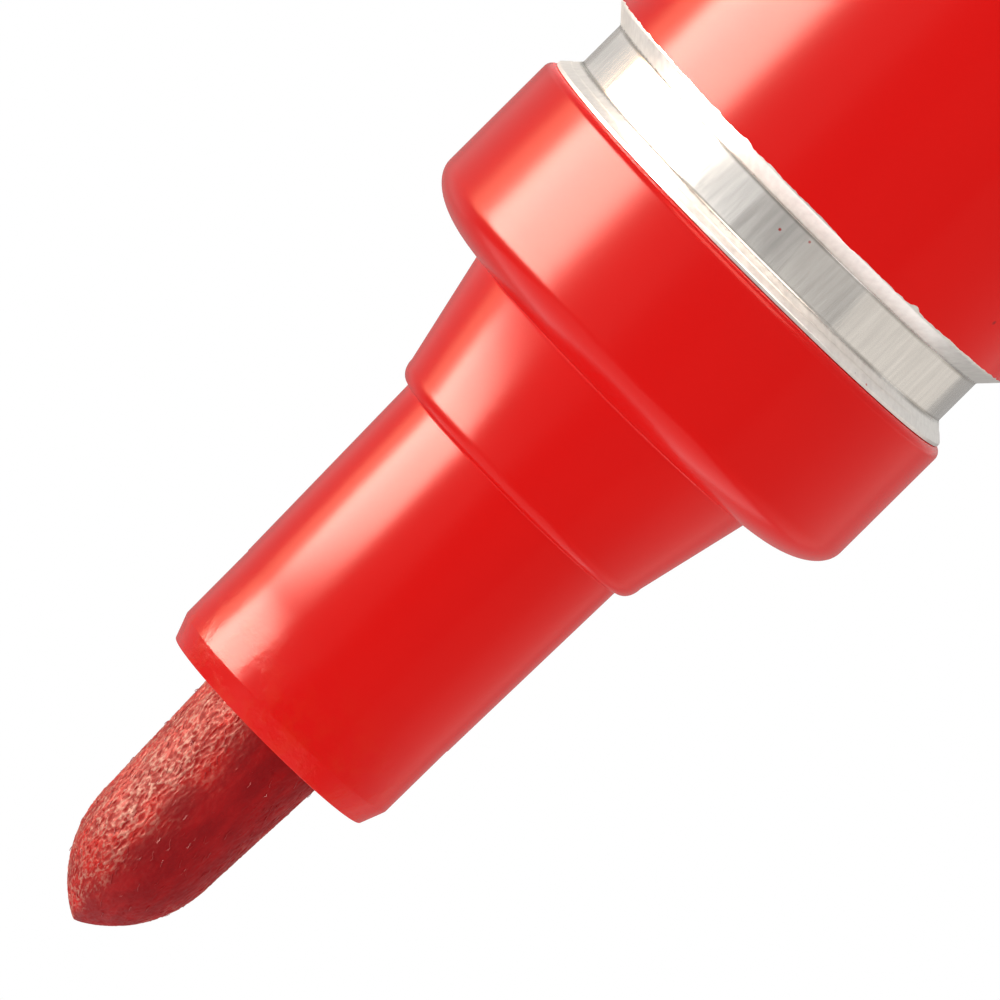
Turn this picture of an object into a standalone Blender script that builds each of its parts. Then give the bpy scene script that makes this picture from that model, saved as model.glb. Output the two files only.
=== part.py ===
"""A bullet-tip felt marker with an aluminium barrel, standing on its cap, which is posted on the tail.

Every piece is turned about the Z axis. The origin is the centre of the cap's flat closed end, and +Z runs
along the marker towards the nib. Lengths are in metres.
"""

import math

import bmesh
import bpy
from mathutils import Matrix

# How finely round shapes are cut
TURN_STEPS = 48
ARC_STEPS = 3
BROW_STEPS = 6  # across the collar's broad rounded front
MERGE_DISTANCE = 1e-6

# Clearances between pieces
SEAM_GAP = 0.00003  # between faces that are pushed together
FIT_GAP = 0.00006  # on the radius, where one piece fits inside another
SOFT_GAP = 0.0003  # round the ink wad

# Nib: a pressed fibre rod with a bullet point
NIB_RADIUS = 0.002455
NIB_TAPER = 0.000175  # how much slimmer the nib is where the bullet shape begins, on the radius
NIB_PROTRUSION = 0.00857
NIB_POINT_LENGTH = 0.0041
NIB_POINT_SHOULDER = 2.4  # powers of the superellipse that the point follows: a higher shoulder is fuller
NIB_POINT_BLUNTNESS = 1.24  # and a higher bluntness is rounder at the very tip
NIB_POINT_RINGS = 9
NIB_RING_CROWDING = 1.5  # above 1, the rings lie closer together towards the tip
NIB_TAIL_LENGTH = 0.035  # behind the nozzle's end face
NIB_TAIL_CHAMFER = 0.0008

# Nib holder: nozzle, cone and collar, moulded in one piece with the plug that fills the barrel's mouth
NOZZLE_FRONT_RADIUS = 0.004426
NOZZLE_CHAMFER_LENGTH = 0.00082
NOZZLE_CHAMFER_DEPTH = 0.00031
NOZZLE_TAPER = 0.00019  # how much wider the nozzle is at the cone, on the radius
NOZZLE_LENGTH = 0.01089
NOZZLE_MARK_FROM_END = 0.00354  # the fine step that the mould insert leaves
NOZZLE_MARK_STEP = 0.00003
CONE_LENGTH = 0.00446
CONE_STEP = 0.000485  # from the nozzle out to the cone's front edge
CONE_TAPER = 0.00088
CONE_LIP_LENGTH = 0.0006  # of the rounding at that edge
COLLAR_LENGTH = 0.0059
COLLAR_STEP = 0.00021  # how far the collar stands proud of the barrel
COLLAR_BROW_LENGTH = 0.00142  # of the rounding from the collar down to the cone
COLLAR_BACK_FILLET = 0.00032
PLUG_LENGTH = 0.0065  # behind the collar
PLUG_CHAMFER = 0.0005
PLUG_WALL = 0.0014
NOZZLE_LAND_LENGTH = 0.0016  # the short bore at the mouth that centres the nib
VENT_DEPTH = 0.00051  # of the air space round the nib, behind the land
GRIP_RIB_RADIUS = 0.00045
GRIP_RIB_COUNT = 6
VENT_SLOT_WIDTH = 0.0006
VENT_SLOT_COUNT = 3

# Barrel: a drawn can, closed at the tail, rolled on to the plug at its mouth
BARREL_RADIUS = 0.0085
BARREL_LENGTH = 0.090
BARREL_WALL = 0.00045
BARREL_END_WALL = 0.0008
TAIL_EDGE_RADIUS = 0.0012
GROOVE_DEPTH = 0.00057
GROOVE_FLOOR_LENGTH = 0.00182
GROOVE_FLANK_LENGTH = 0.0005  # from the groove back out to the barrel
LIP_FLARE_LENGTH = 0.00042  # from the groove out to the mouth's edge
LIP_LENGTH = 0.00012  # the mouth's edge, beyond the flare
LIP_DEPTH = 0.00003  # how far that edge stays inside the barrel's radius

# Packing ring squeezed under the rolled groove
PACKING_DEPTH = 0.00055
PACKING_CHAMFER = 0.00012

# Ink wad and its film wrap
WRAP_WALL = 0.00015
WAD_SOCKET_SPARE = 0.0005

# Cap
CAP_WALL = 0.00095
CAP_END_WALL = 0.0013
CAP_DRAFT = 0.00035  # how much slimmer the closed end is, on the radius
CAP_END_EDGE_RADIUS = 0.0008
CAP_CLEARANCE = 0.0001  # round the collar
CAP_OVERRUN = 0.0007  # how far the mouth reaches behind the collar
SNAP_BEAD_HEIGHT = 0.00012
SNAP_BEAD_LENGTH = 0.0005
POST_RIB_ROOT = 0.00028  # how deep the ribs are sunk in the cap's wall
POST_RIB_COUNT = 6
POST_RIB_FROM_MOUTH = 0.0078
GRIP_FLUTE_RADIUS = 0.00042
GRIP_FLUTE_HEIGHT = 0.00022
GRIP_FLUTE_COUNT = 32
GRIP_FLUTE_START = 0.0024
GRIP_FLUTE_END = 0.0135
GRIP_FLUTE_CLIP_GAP = math.radians(24)

# Inner seal of the cap: a soft cup that closes round the nozzle
SEAL_WALL = 0.0007
SEAL_END_WALL = 0.0008
SEAL_CLEARANCE = 0.0004  # round the nozzle
SEAL_NIB_ROOM = 0.0016
SEAL_LEAD_IN = 0.0016
SEAL_BEAD_LENGTH = 0.0008
SEAL_SOCKET_WALL = 0.0008
SEAL_SOCKET_HEIGHT = 0.0035

# Clip, moulded on the cap
CLIP_WIDTH = 0.0042
CLIP_THICKNESS = 0.0013
CLIP_GAP = 0.0013
CLIP_ROOT_START = 0.0016
CLIP_ROOT_END = 0.0058
CLIP_LENGTH = 0.0265
CLIP_BUMP_LENGTH = 0.0030
CLIP_BUMP_CLEARANCE = 0.0003
CLIP_EDGE_RADIUS = 0.0003
CLIP_ROOT_DEPTH = 0.0005  # how far the root is sunk in the cap's wall, to join it

# Places along Z, from the cap's closed end up to the nib's point
SEAL_FLOOR_Z = CAP_END_WALL + SEAM_GAP
SEAL_LENGTH = SEAL_END_WALL + SEAL_NIB_ROOM + NIB_PROTRUSION + NOZZLE_MARK_FROM_END + SEAL_LEAD_IN
SEAL_MOUTH_Z = SEAL_FLOOR_Z + SEAL_LENGTH
TAIL_Z = SEAL_MOUTH_Z + SEAM_GAP
MOUTH_Z = TAIL_Z + BARREL_LENGTH
COLLAR_BACK_Z = MOUTH_Z + SEAM_GAP
COLLAR_FRONT_Z = COLLAR_BACK_Z + COLLAR_LENGTH
CONE_FRONT_Z = COLLAR_FRONT_Z + CONE_LENGTH
NOZZLE_END_Z = CONE_FRONT_Z + NOZZLE_LENGTH
NIB_POINT_Z = NOZZLE_END_Z + NIB_PROTRUSION
NIB_TAIL_Z = NOZZLE_END_Z - NIB_TAIL_LENGTH
PLUG_END_Z = COLLAR_BACK_Z - PLUG_LENGTH
FRONT_LENGTH = COLLAR_LENGTH + CONE_LENGTH + NOZZLE_LENGTH
CAP_LENGTH = SEAL_FLOOR_Z + SEAL_END_WALL + SEAL_NIB_ROOM + NIB_PROTRUSION + FRONT_LENGTH + CAP_OVERRUN

# Radii that follow from their neighbours
NIB_NECK_RADIUS = NIB_RADIUS - NIB_TAPER
NIB_BORE_RADIUS = NIB_RADIUS + FIT_GAP
VENT_BORE_RADIUS = NIB_BORE_RADIUS + VENT_DEPTH
NOZZLE_END_RADIUS = NOZZLE_FRONT_RADIUS - NOZZLE_CHAMFER_DEPTH
NOZZLE_BACK_RADIUS = NOZZLE_FRONT_RADIUS + NOZZLE_TAPER
CONE_FRONT_RADIUS = NOZZLE_BACK_RADIUS + CONE_STEP
CONE_BACK_RADIUS = CONE_FRONT_RADIUS + CONE_TAPER
COLLAR_RADIUS = BARREL_RADIUS + COLLAR_STEP
BARREL_BORE_RADIUS = BARREL_RADIUS - BARREL_WALL
NECK_RADIUS = BARREL_RADIUS - GROOVE_DEPTH
LIP_RADIUS = BARREL_RADIUS - LIP_DEPTH
NECK_BORE_RADIUS = NECK_RADIUS - BARREL_WALL
PLUG_RADIUS = BARREL_BORE_RADIUS - FIT_GAP
PACKING_RADIUS = NECK_BORE_RADIUS - FIT_GAP
PLUG_GROOVE_RADIUS = PACKING_RADIUS - PACKING_DEPTH - FIT_GAP
PLUG_BORE_RADIUS = PLUG_GROOVE_RADIUS - PLUG_WALL
WRAP_RADIUS = BARREL_BORE_RADIUS - FIT_GAP
WAD_RADIUS = WRAP_RADIUS - WRAP_WALL - FIT_GAP
CAP_BORE_RADIUS = COLLAR_RADIUS + CAP_CLEARANCE
CAP_MOUTH_RADIUS = CAP_BORE_RADIUS + CAP_WALL
CAP_END_RADIUS = CAP_MOUTH_RADIUS - CAP_DRAFT
SEAL_BORE_RADIUS = NOZZLE_BACK_RADIUS + SEAL_CLEARANCE
SEAL_RADIUS = SEAL_BORE_RADIUS + SEAL_WALL
SEAL_BEAD_RADIUS = NOZZLE_FRONT_RADIUS + NOZZLE_MARK_STEP + FIT_GAP

# Places in the rolled groove
GROOVE_TOP_Z = MOUTH_Z - LIP_LENGTH - LIP_FLARE_LENGTH
GROOVE_BOTTOM_Z = GROOVE_TOP_Z - GROOVE_FLOOR_LENGTH
SHOULDER_Z = GROOVE_BOTTOM_Z - GROOVE_FLANK_LENGTH


def arc(centre_r, centre_z, radius, start_deg, end_deg, steps=ARC_STEPS):
    """Points of an arc in the (radius, Z) plane; 0 degrees points away from the axis and 90 degrees up."""
    points = []
    for step in range(steps + 1):
        angle = math.radians(start_deg + (end_deg - start_deg) * step / steps)
        points.append((centre_r + radius * math.cos(angle), centre_z + radius * math.sin(angle)))
    return points


def rounding(inner_r, top_z, outer_r, low_z, steps=ARC_STEPS):
    """Points of a quarter ellipse that leaves a flat face at (inner_r, top_z) and meets a wall at
    (outer_r, low_z)."""
    points = []
    for step in range(steps + 1):
        angle = math.pi / 2 * step / steps
        radius = inner_r + (outer_r - inner_r) * math.sin(angle)
        points.append((radius, low_z + (top_z - low_z) * math.cos(angle)))
    return points


def finish(name, colour, roughness, metallic=0.0):
    """A Principled material; colour is linear RGB."""
    material = bpy.data.materials.new(name)
    material.use_nodes = True
    shader = material.node_tree.nodes["Principled BSDF"]
    shader.inputs["Base Color"].default_value = (*colour, 1.0)
    shader.inputs["Roughness"].default_value = roughness
    shader.inputs["Metallic"].default_value = metallic
    return material


def add_object(name, shape, collection, material=None):
    obj = bpy.data.objects.new(name, shape)
    collection.objects.link(obj)
    if material:
        obj.data.materials.append(material)
    return obj


def turned(name, profile, collection, material=None, closed=True):
    """A solid turned about Z. The profile is (radius, Z) points that run down the outside and, on a hollow
    piece, back up the inside; a closed one joins its last point to its first."""
    mesh = bpy.data.meshes.new(name)
    count = len(profile)
    edges = [(i, i + 1) for i in range(count - 1)]
    if closed:
        edges.append((count - 1, 0))
    mesh.from_pydata([(r, 0.0, z) for r, z in profile], edges, [])
    obj = add_object(name, mesh, collection, material)
    screw = obj.modifiers.new("turn", "SCREW")
    screw.axis = "Z"
    screw.angle = math.tau
    screw.steps = TURN_STEPS
    screw.render_steps = TURN_STEPS
    screw.use_merge_vertices = True
    screw.merge_threshold = MERGE_DISTANCE
    screw.use_smooth_shade = True
    return obj


def helper_mesh(name, collection, build):
    """A cutter or an adder: a mesh made by build(bm), used by a Boolean and left out of the object."""
    mesh = bpy.data.meshes.new(name)
    bm = bmesh.new()
    build(bm)
    bmesh.ops.recalc_face_normals(bm, faces=bm.faces)
    bm.to_mesh(mesh)
    bm.free()
    obj = add_object(name, mesh, collection)
    obj.display_type = "WIRE"
    obj.hide_render = True
    return obj


def rods_round_axis(name, collection, count, centre_radius, rod_radius, z_range, skip=lambda angle: False):
    """One helper object for each upright round rod on a circle; skip(angle) leaves one out."""
    low, high = z_range
    made = []
    for index in range(count):
        angle = math.tau * index / count
        if skip(angle):
            continue
        place = Matrix.Rotation(angle, 4, "Z") @ Matrix.Translation((centre_radius, 0, (low + high) / 2))

        def build(bm, place=place):
            bmesh.ops.create_cone(
                bm,
                cap_ends=True,
                segments=8,
                radius1=rod_radius,
                radius2=rod_radius,
                depth=high - low,
                matrix=place,
            )

        made.append(helper_mesh(f"{name}_{index}", collection, build))
    return made


def combine(obj, others, operation):
    """A Boolean modifier on obj for each of the other objects."""
    for other in others:
        boolean = obj.modifiers.new(other.name, "BOOLEAN")
        boolean.operation = operation
        boolean.object = other


def make_barrel(collection, material):
    outside = [
        (LIP_RADIUS, MOUTH_Z),
        (LIP_RADIUS, MOUTH_Z - LIP_LENGTH),
        (NECK_RADIUS, GROOVE_TOP_Z),
        (NECK_RADIUS, GROOVE_BOTTOM_Z),
        (BARREL_RADIUS, SHOULDER_Z),
    ]
    outside += arc(BARREL_RADIUS - TAIL_EDGE_RADIUS, TAIL_Z + TAIL_EDGE_RADIUS, TAIL_EDGE_RADIUS, 0, -90)
    outside.append((0.0, TAIL_Z))
    inner_edge = TAIL_EDGE_RADIUS - BARREL_WALL
    floor_z = TAIL_Z + BARREL_END_WALL
    inside = [(0.0, floor_z)]
    inside += arc(BARREL_BORE_RADIUS - inner_edge, floor_z + inner_edge, inner_edge, -90, 0)
    inside += [
        (BARREL_BORE_RADIUS, SHOULDER_Z),
        (NECK_BORE_RADIUS, GROOVE_BOTTOM_Z),
        (NECK_BORE_RADIUS, GROOVE_TOP_Z),
        (LIP_RADIUS - BARREL_WALL, MOUTH_Z - LIP_LENGTH),
        (LIP_RADIUS - BARREL_WALL, MOUTH_Z),
    ]
    # Up the inside from the floor's centre, then down the outside, so that the profile ends on the axis
    return turned("barrel_can", inside + outside, collection, material, closed=False)


def make_nib_holder(collection, helpers, material):
    mark_z = NOZZLE_END_Z - NOZZLE_MARK_FROM_END
    lip_z = CONE_FRONT_Z - CONE_LIP_LENGTH
    plug_ridge_z = SHOULDER_Z - FIT_GAP
    ridge_front_z = GROOVE_BOTTOM_Z - FIT_GAP
    profile = [
        (NOZZLE_END_RADIUS, NOZZLE_END_Z),
        (NOZZLE_FRONT_RADIUS, NOZZLE_END_Z - NOZZLE_CHAMFER_LENGTH),
        (NOZZLE_FRONT_RADIUS + NOZZLE_MARK_STEP, mark_z),
        (NOZZLE_FRONT_RADIUS + 2 * NOZZLE_MARK_STEP, mark_z - NOZZLE_MARK_STEP),
    ]
    profile += rounding(NOZZLE_BACK_RADIUS, CONE_FRONT_Z, CONE_FRONT_RADIUS, lip_z)
    brow_z = COLLAR_FRONT_Z - COLLAR_BROW_LENGTH
    profile += rounding(CONE_BACK_RADIUS, COLLAR_FRONT_Z, COLLAR_RADIUS, brow_z, BROW_STEPS)
    fillet = COLLAR_BACK_FILLET
    profile += arc(COLLAR_RADIUS - fillet, COLLAR_BACK_Z + fillet, fillet, 0, -90)
    profile += [
        (PLUG_GROOVE_RADIUS, COLLAR_BACK_Z),
        (PLUG_GROOVE_RADIUS, ridge_front_z),
        (NECK_BORE_RADIUS - 2 * FIT_GAP, ridge_front_z),
        (PLUG_RADIUS, plug_ridge_z),
        (PLUG_RADIUS, PLUG_END_Z + PLUG_CHAMFER),
        (PLUG_RADIUS - PLUG_CHAMFER, PLUG_END_Z),
        (PLUG_BORE_RADIUS, PLUG_END_Z),
        (PLUG_BORE_RADIUS, COLLAR_BACK_Z + COLLAR_LENGTH / 2),
        (VENT_BORE_RADIUS, CONE_FRONT_Z - CONE_LENGTH / 2),
        (VENT_BORE_RADIUS, NOZZLE_END_Z - NOZZLE_LAND_LENGTH),
        (NIB_BORE_RADIUS, NOZZLE_END_Z - NOZZLE_LAND_LENGTH),
        (NIB_BORE_RADIUS, NOZZLE_END_Z),
    ]
    obj = turned("nib_holder", profile, collection, material)
    overlap = NOZZLE_LAND_LENGTH / 2
    rib_range = (CONE_FRONT_Z, NOZZLE_END_Z - NOZZLE_LAND_LENGTH + overlap)
    rib_centre = NIB_RADIUS + FIT_GAP / 2 + GRIP_RIB_RADIUS
    ribs = rods_round_axis("nib_grip_rib", helpers, GRIP_RIB_COUNT, rib_centre, GRIP_RIB_RADIUS, rib_range)
    combine(obj, ribs, "UNION")
    combine(obj, vent_slots(helpers), "DIFFERENCE")
    return obj


def vent_slots(helpers):
    """Cutters for the air slots through the land at the mouth, each midway between two grip ribs."""
    depth = NOZZLE_LAND_LENGTH + VENT_DEPTH
    inner = NIB_BORE_RADIUS / 2
    outer = VENT_BORE_RADIUS - 2 * FIT_GAP
    size = Matrix.Diagonal((outer - inner, VENT_SLOT_WIDTH, 2 * depth, 1.0))
    cutters = []
    for index in range(VENT_SLOT_COUNT):
        angle = math.tau * (index / VENT_SLOT_COUNT + 0.5 / GRIP_RIB_COUNT)
        middle = Matrix.Translation(((inner + outer) / 2, 0, NOZZLE_END_Z))
        place = Matrix.Rotation(angle, 4, "Z") @ middle

        def build(bm, place=place):
            bmesh.ops.create_cube(bm, size=1.0, matrix=place @ size)

        cutters.append(helper_mesh(f"vent_slot_{index}", helpers, build))
    return cutters


def make_packing(collection, material):
    outer = PACKING_RADIUS
    inner = PLUG_GROOVE_RADIUS + FIT_GAP
    cut = PACKING_CHAMFER
    profile = [
        (outer - cut, GROOVE_TOP_Z),
        (outer, GROOVE_TOP_Z - cut),
        (outer, GROOVE_BOTTOM_Z + cut),
        (outer - cut, GROOVE_BOTTOM_Z),
        (inner + cut, GROOVE_BOTTOM_Z),
        (inner, GROOVE_BOTTOM_Z + cut),
        (inner, GROOVE_TOP_Z - cut),
        (inner + cut, GROOVE_TOP_Z),
    ]
    return turned("packing_ring", profile, collection, material)


def make_nib(collection, material):
    profile = [(0.0, NIB_POINT_Z)]
    for ring in range(1, NIB_POINT_RINGS + 1):
        share = (ring / NIB_POINT_RINGS) ** NIB_RING_CROWDING
        fullness = 1 - (1 - share) ** NIB_POINT_SHOULDER
        radius = NIB_NECK_RADIUS * fullness ** (1 / NIB_POINT_BLUNTNESS)
        profile.append((radius, NIB_POINT_Z - share * NIB_POINT_LENGTH))
    profile += [
        (NIB_RADIUS, NOZZLE_END_Z),
        (NIB_RADIUS, NIB_TAIL_Z + NIB_TAIL_CHAMFER),
        (NIB_RADIUS - NIB_TAIL_CHAMFER, NIB_TAIL_Z),
        (0.0, NIB_TAIL_Z),
    ]
    return turned("bullet_nib", profile, collection, material, closed=False)


def make_ink_wad(collection, material):
    low = TAIL_Z + BARREL_END_WALL + SOFT_GAP
    high = PLUG_END_Z - SOFT_GAP
    edge = TAIL_EDGE_RADIUS
    socket_floor = NIB_TAIL_Z - WAD_SOCKET_SPARE
    profile = [
        (0.0, socket_floor),
        (NIB_BORE_RADIUS, socket_floor),
        (NIB_BORE_RADIUS, high),
        (WAD_RADIUS - edge, high),
        (WAD_RADIUS, high - edge),
        (WAD_RADIUS, low + edge),
        (WAD_RADIUS - edge, low),
        (0.0, low),
    ]
    return turned("ink_wad", profile, collection, material, closed=False)


def make_wad_wrap(collection, material):
    low = TAIL_Z + BARREL_END_WALL + TAIL_EDGE_RADIUS
    high = PLUG_END_Z - SOFT_GAP
    inner = WRAP_RADIUS - WRAP_WALL
    profile = [(WRAP_RADIUS, high), (WRAP_RADIUS, low), (inner, low), (inner, high)]
    return turned("wad_wrap", profile, collection, material)


def make_cap(collection, helpers, material):
    edge = CAP_END_EDGE_RADIUS
    bead_z = CAP_LENGTH - 2 * SNAP_BEAD_LENGTH
    bead_r = CAP_BORE_RADIUS - SNAP_BEAD_HEIGHT
    socket_inner = SEAL_RADIUS + FIT_GAP
    socket_outer = socket_inner + SEAL_SOCKET_WALL
    socket_top = CAP_END_WALL + SEAL_SOCKET_HEIGHT
    deep_bore = CAP_BORE_RADIUS - CAP_DRAFT / 2
    profile = [
        (0.0, CAP_END_WALL),
        (socket_inner, CAP_END_WALL),
        (socket_inner, socket_top),
        (socket_outer, socket_top),
        (socket_outer, CAP_END_WALL),
        (deep_bore - edge, CAP_END_WALL),
        (deep_bore, CAP_END_WALL + edge),
        (CAP_BORE_RADIUS, CAP_LENGTH - POST_RIB_FROM_MOUTH),
        (CAP_BORE_RADIUS, bead_z - SNAP_BEAD_LENGTH / 2),
        (bead_r, bead_z),
        (CAP_BORE_RADIUS, bead_z + SNAP_BEAD_LENGTH / 2),
        (CAP_BORE_RADIUS + SNAP_BEAD_HEIGHT, CAP_LENGTH),
        (CAP_MOUTH_RADIUS - SNAP_BEAD_HEIGHT, CAP_LENGTH),
        (CAP_MOUTH_RADIUS, CAP_LENGTH - SNAP_BEAD_HEIGHT),
    ]
    profile += arc(CAP_END_RADIUS - edge, edge, edge, 0, -90)
    profile.append((0.0, 0.0))
    obj = turned("cap_shell", profile, collection, material, closed=False)
    post_inner = BARREL_RADIUS + FIT_GAP
    post_radius = (CAP_BORE_RADIUS + POST_RIB_ROOT - post_inner) / 2
    post_centre = post_inner + post_radius
    post_range = (CAP_END_WALL + 2 * SEAL_SOCKET_HEIGHT, CAP_LENGTH - POST_RIB_FROM_MOUTH)
    posts = rods_round_axis("post_rib", helpers, POST_RIB_COUNT, post_centre, post_radius, post_range)
    flute_centre = CAP_END_RADIUS + GRIP_FLUTE_HEIGHT - GRIP_FLUTE_RADIUS
    flutes = rods_round_axis(
        "grip_flute",
        helpers,
        GRIP_FLUTE_COUNT,
        flute_centre,
        GRIP_FLUTE_RADIUS,
        (GRIP_FLUTE_START, GRIP_FLUTE_END),
        skip=lambda angle: math.cos(angle) > math.cos(GRIP_FLUTE_CLIP_GAP),
    )
    combine(obj, posts + flutes + [make_clip(helpers)], "UNION")
    return obj


def make_clip(helpers):
    """The clip, a flat outline in the XZ plane given its width and rounded, to be joined to the cap."""
    arm_inner = CAP_MOUTH_RADIUS + CLIP_GAP
    arm_outer = arm_inner + CLIP_THICKNESS
    root_inner = CAP_END_RADIUS - CLIP_ROOT_DEPTH
    bump = CAP_MOUTH_RADIUS + CLIP_BUMP_CLEARANCE
    free_end = CLIP_ROOT_START + CLIP_LENGTH
    outline = [
        (root_inner, CLIP_ROOT_START),
        (arm_outer - CLIP_THICKNESS, CLIP_ROOT_START),
        (arm_outer, CLIP_ROOT_START + CLIP_THICKNESS),
        (arm_outer, free_end - CLIP_THICKNESS),
        (arm_outer - CLIP_THICKNESS / 2, free_end),
        (bump + CLIP_GAP / 2, free_end),
        (bump, free_end - CLIP_BUMP_LENGTH / 3),
        (bump, free_end - 2 * CLIP_BUMP_LENGTH / 3),
        (arm_inner, free_end - CLIP_BUMP_LENGTH - CLIP_GAP),
        (arm_inner, CLIP_ROOT_END + CLIP_GAP / 2),
        (arm_inner - CLIP_GAP / 2, CLIP_ROOT_END),
        (root_inner, CLIP_ROOT_END),
    ]
    curve = bpy.data.curves.new("clip_outline", "CURVE")
    curve.dimensions = "2D"
    curve.fill_mode = "BOTH"
    curve.extrude = CLIP_WIDTH / 2
    spline = curve.splines.new("POLY")
    spline.points.add(len(outline) - 1)
    for point, (x, z) in zip(spline.points, outline):
        point.co = (x, z, 0.0, 1.0)
    spline.use_cyclic_u = True
    clip = as_mesh(add_object("clip_arm", curve, helpers), Matrix.Rotation(math.pi / 2, 4, "X"), helpers)
    bevel = clip.modifiers.new("round_edges", "BEVEL")
    bevel.width = CLIP_EDGE_RADIUS
    bevel.segments = 2
    bevel.angle_limit = math.radians(50)
    return clip


def as_mesh(curve_object, placing, collection):
    """A helper mesh made from a curve object, welded and placed, which takes the curve's place and name."""
    graph = bpy.context.evaluated_depsgraph_get()
    mesh = bpy.data.meshes.new_from_object(curve_object.evaluated_get(graph))
    name = curve_object.name
    bpy.data.objects.remove(curve_object, do_unlink=True)

    def build(bm):
        bm.from_mesh(mesh)
        bmesh.ops.remove_doubles(bm, verts=bm.verts, dist=MERGE_DISTANCE)
        bmesh.ops.transform(bm, matrix=placing, verts=bm.verts)

    return helper_mesh(name, collection, build)


def make_inner_seal(collection, material):
    bead_z = SEAL_MOUTH_Z - SEAL_LEAD_IN
    half_bead = SEAL_BEAD_LENGTH / 2
    floor_z = SEAL_FLOOR_Z + SEAL_END_WALL
    edge = SEAL_WALL / 2
    profile = [
        (0.0, floor_z),
        (SEAL_BORE_RADIUS - edge, floor_z),
        (SEAL_BORE_RADIUS, floor_z + edge),
        (SEAL_BORE_RADIUS, bead_z - 2 * half_bead),
        (SEAL_BEAD_RADIUS, bead_z - half_bead / 2),
        (SEAL_BEAD_RADIUS, bead_z + half_bead / 2),
        (SEAL_BORE_RADIUS, bead_z + 2 * half_bead),
        (SEAL_BORE_RADIUS, SEAL_MOUTH_Z - edge),
        (SEAL_BORE_RADIUS + edge / 2, SEAL_MOUTH_Z),
        (SEAL_RADIUS - edge / 2, SEAL_MOUTH_Z),
        (SEAL_RADIUS, SEAL_MOUTH_Z - edge),
        (SEAL_RADIUS, SEAL_FLOOR_Z + edge),
        (SEAL_RADIUS - edge, SEAL_FLOOR_Z),
        (0.0, SEAL_FLOOR_Z),
    ]
    return turned("cap_inner_seal", profile, collection, material, closed=False)


def main():
    for obj in list(bpy.data.objects):
        bpy.data.objects.remove(obj, do_unlink=True)
    marker = bpy.data.collections.new("felt_tip_marker")
    helpers = bpy.data.collections.new("helpers")
    bpy.context.scene.collection.children.link(marker)
    bpy.context.scene.collection.children.link(helpers)

    make_barrel(marker, finish("red_lacquered_aluminium", (0.76, 0.010, 0.008), 0.25, 0.1))
    make_nib_holder(marker, helpers, finish("holder_polypropylene", (0.79, 0.012, 0.008), 0.28))
    make_packing(marker, finish("black_rubber", (0.02, 0.02, 0.02), 0.6))
    make_nib(marker, finish("inked_felt", (0.33, 0.010, 0.012), 0.75))
    make_ink_wad(marker, finish("inked_fibre", (0.42, 0.006, 0.012), 0.9))
    make_wad_wrap(marker, finish("clear_film", (0.75, 0.60, 0.60), 0.2))
    make_cap(marker, helpers, finish("cap_polypropylene", (0.79, 0.012, 0.008), 0.28))
    make_inner_seal(marker, finish("natural_polyethylene", (0.85, 0.83, 0.78), 0.45))


main()
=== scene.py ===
"""A bullet-tip felt marker: a red moulded nose on a rolled aluminium neck, a lacquered barrel and a cap
that sits on its tail.

The marker stands nib up on the cap. Lengths are in metres.
"""

import math

import bmesh
import bpy
import numpy as np
from mathutils import Matrix, Vector, noise


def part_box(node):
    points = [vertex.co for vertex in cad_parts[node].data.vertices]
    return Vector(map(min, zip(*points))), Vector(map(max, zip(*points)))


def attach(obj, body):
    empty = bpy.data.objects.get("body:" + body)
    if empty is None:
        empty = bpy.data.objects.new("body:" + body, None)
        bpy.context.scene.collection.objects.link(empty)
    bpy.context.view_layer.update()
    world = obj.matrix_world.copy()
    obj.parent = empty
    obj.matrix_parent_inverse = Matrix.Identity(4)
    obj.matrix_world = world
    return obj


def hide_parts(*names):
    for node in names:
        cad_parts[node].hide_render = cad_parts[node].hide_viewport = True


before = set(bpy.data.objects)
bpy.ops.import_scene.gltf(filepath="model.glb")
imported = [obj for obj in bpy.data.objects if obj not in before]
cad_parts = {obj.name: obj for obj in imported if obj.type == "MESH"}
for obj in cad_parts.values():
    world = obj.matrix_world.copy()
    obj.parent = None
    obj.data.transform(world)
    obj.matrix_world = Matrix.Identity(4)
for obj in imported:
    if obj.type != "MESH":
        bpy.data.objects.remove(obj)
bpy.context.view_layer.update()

MM = 0.001

# Barrel
LACQUER = 0.025 * MM  # thickness of the coat
LACQUER_ROOT = 0.05 * MM  # how deep the coat's inner face is sunk in the metal
GROOVE_DEPTH = 0.57 * MM
GROOVE_FLOOR = 1.66 * MM
GROOVE_FLANK = 0.58 * MM
LIP_FLARE = 0.5 * MM
LIP_LENGTH = 0.12 * MM
LIP_DEPTH = 0.03 * MM
BARREL_WALL = 0.45 * MM
BARREL_END_WALL = 0.8 * MM
TAIL_EDGE = 1.2 * MM
LIP_CORNERS = (0.015 * MM, 0.04 * MM)  # corner radii at the mouth and behind the lip
GROOVE_CORNER = 0.1 * MM
SHOULDER_CORNER = 0.15 * MM
STRAIGHT_FROM = 1.0 * MM  # below the shoulder
CREASE = 0.018 * MM  # the fine steps that the roller's edge leaves on the flare
CREASE_RISE = 0.03 * MM
CREASE_CORNER = 0.01 * MM
DENT_DEPTH = 0.0045 * MM
DENT_REACH = 0.1 * MM  # below the groove, short of the can's inner face
DENT_WAVES = ((9, 0.25, 1.0), (26, 0.3, 0.8))  # turns round the neck, turns a mm along it, share of depth
COAT_EDGE = 0.05 * MM  # how far below the shoulder the coat ends
COAT_WAVES = ((0.09, 1.3), (0.04, 7), (0.03, 26), (0.02, 60))  # height in mm, turns round the can
COAT_CHIPS = (0.22, 15, 0.3)  # the same, and how rare from 0 to 1
COAT_RINGS = (0.0, 0.02, 0.05, 0.1, 0.2, 0.4, 0.8, 1.6)  # mm below the coat's edge, closer near it

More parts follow.
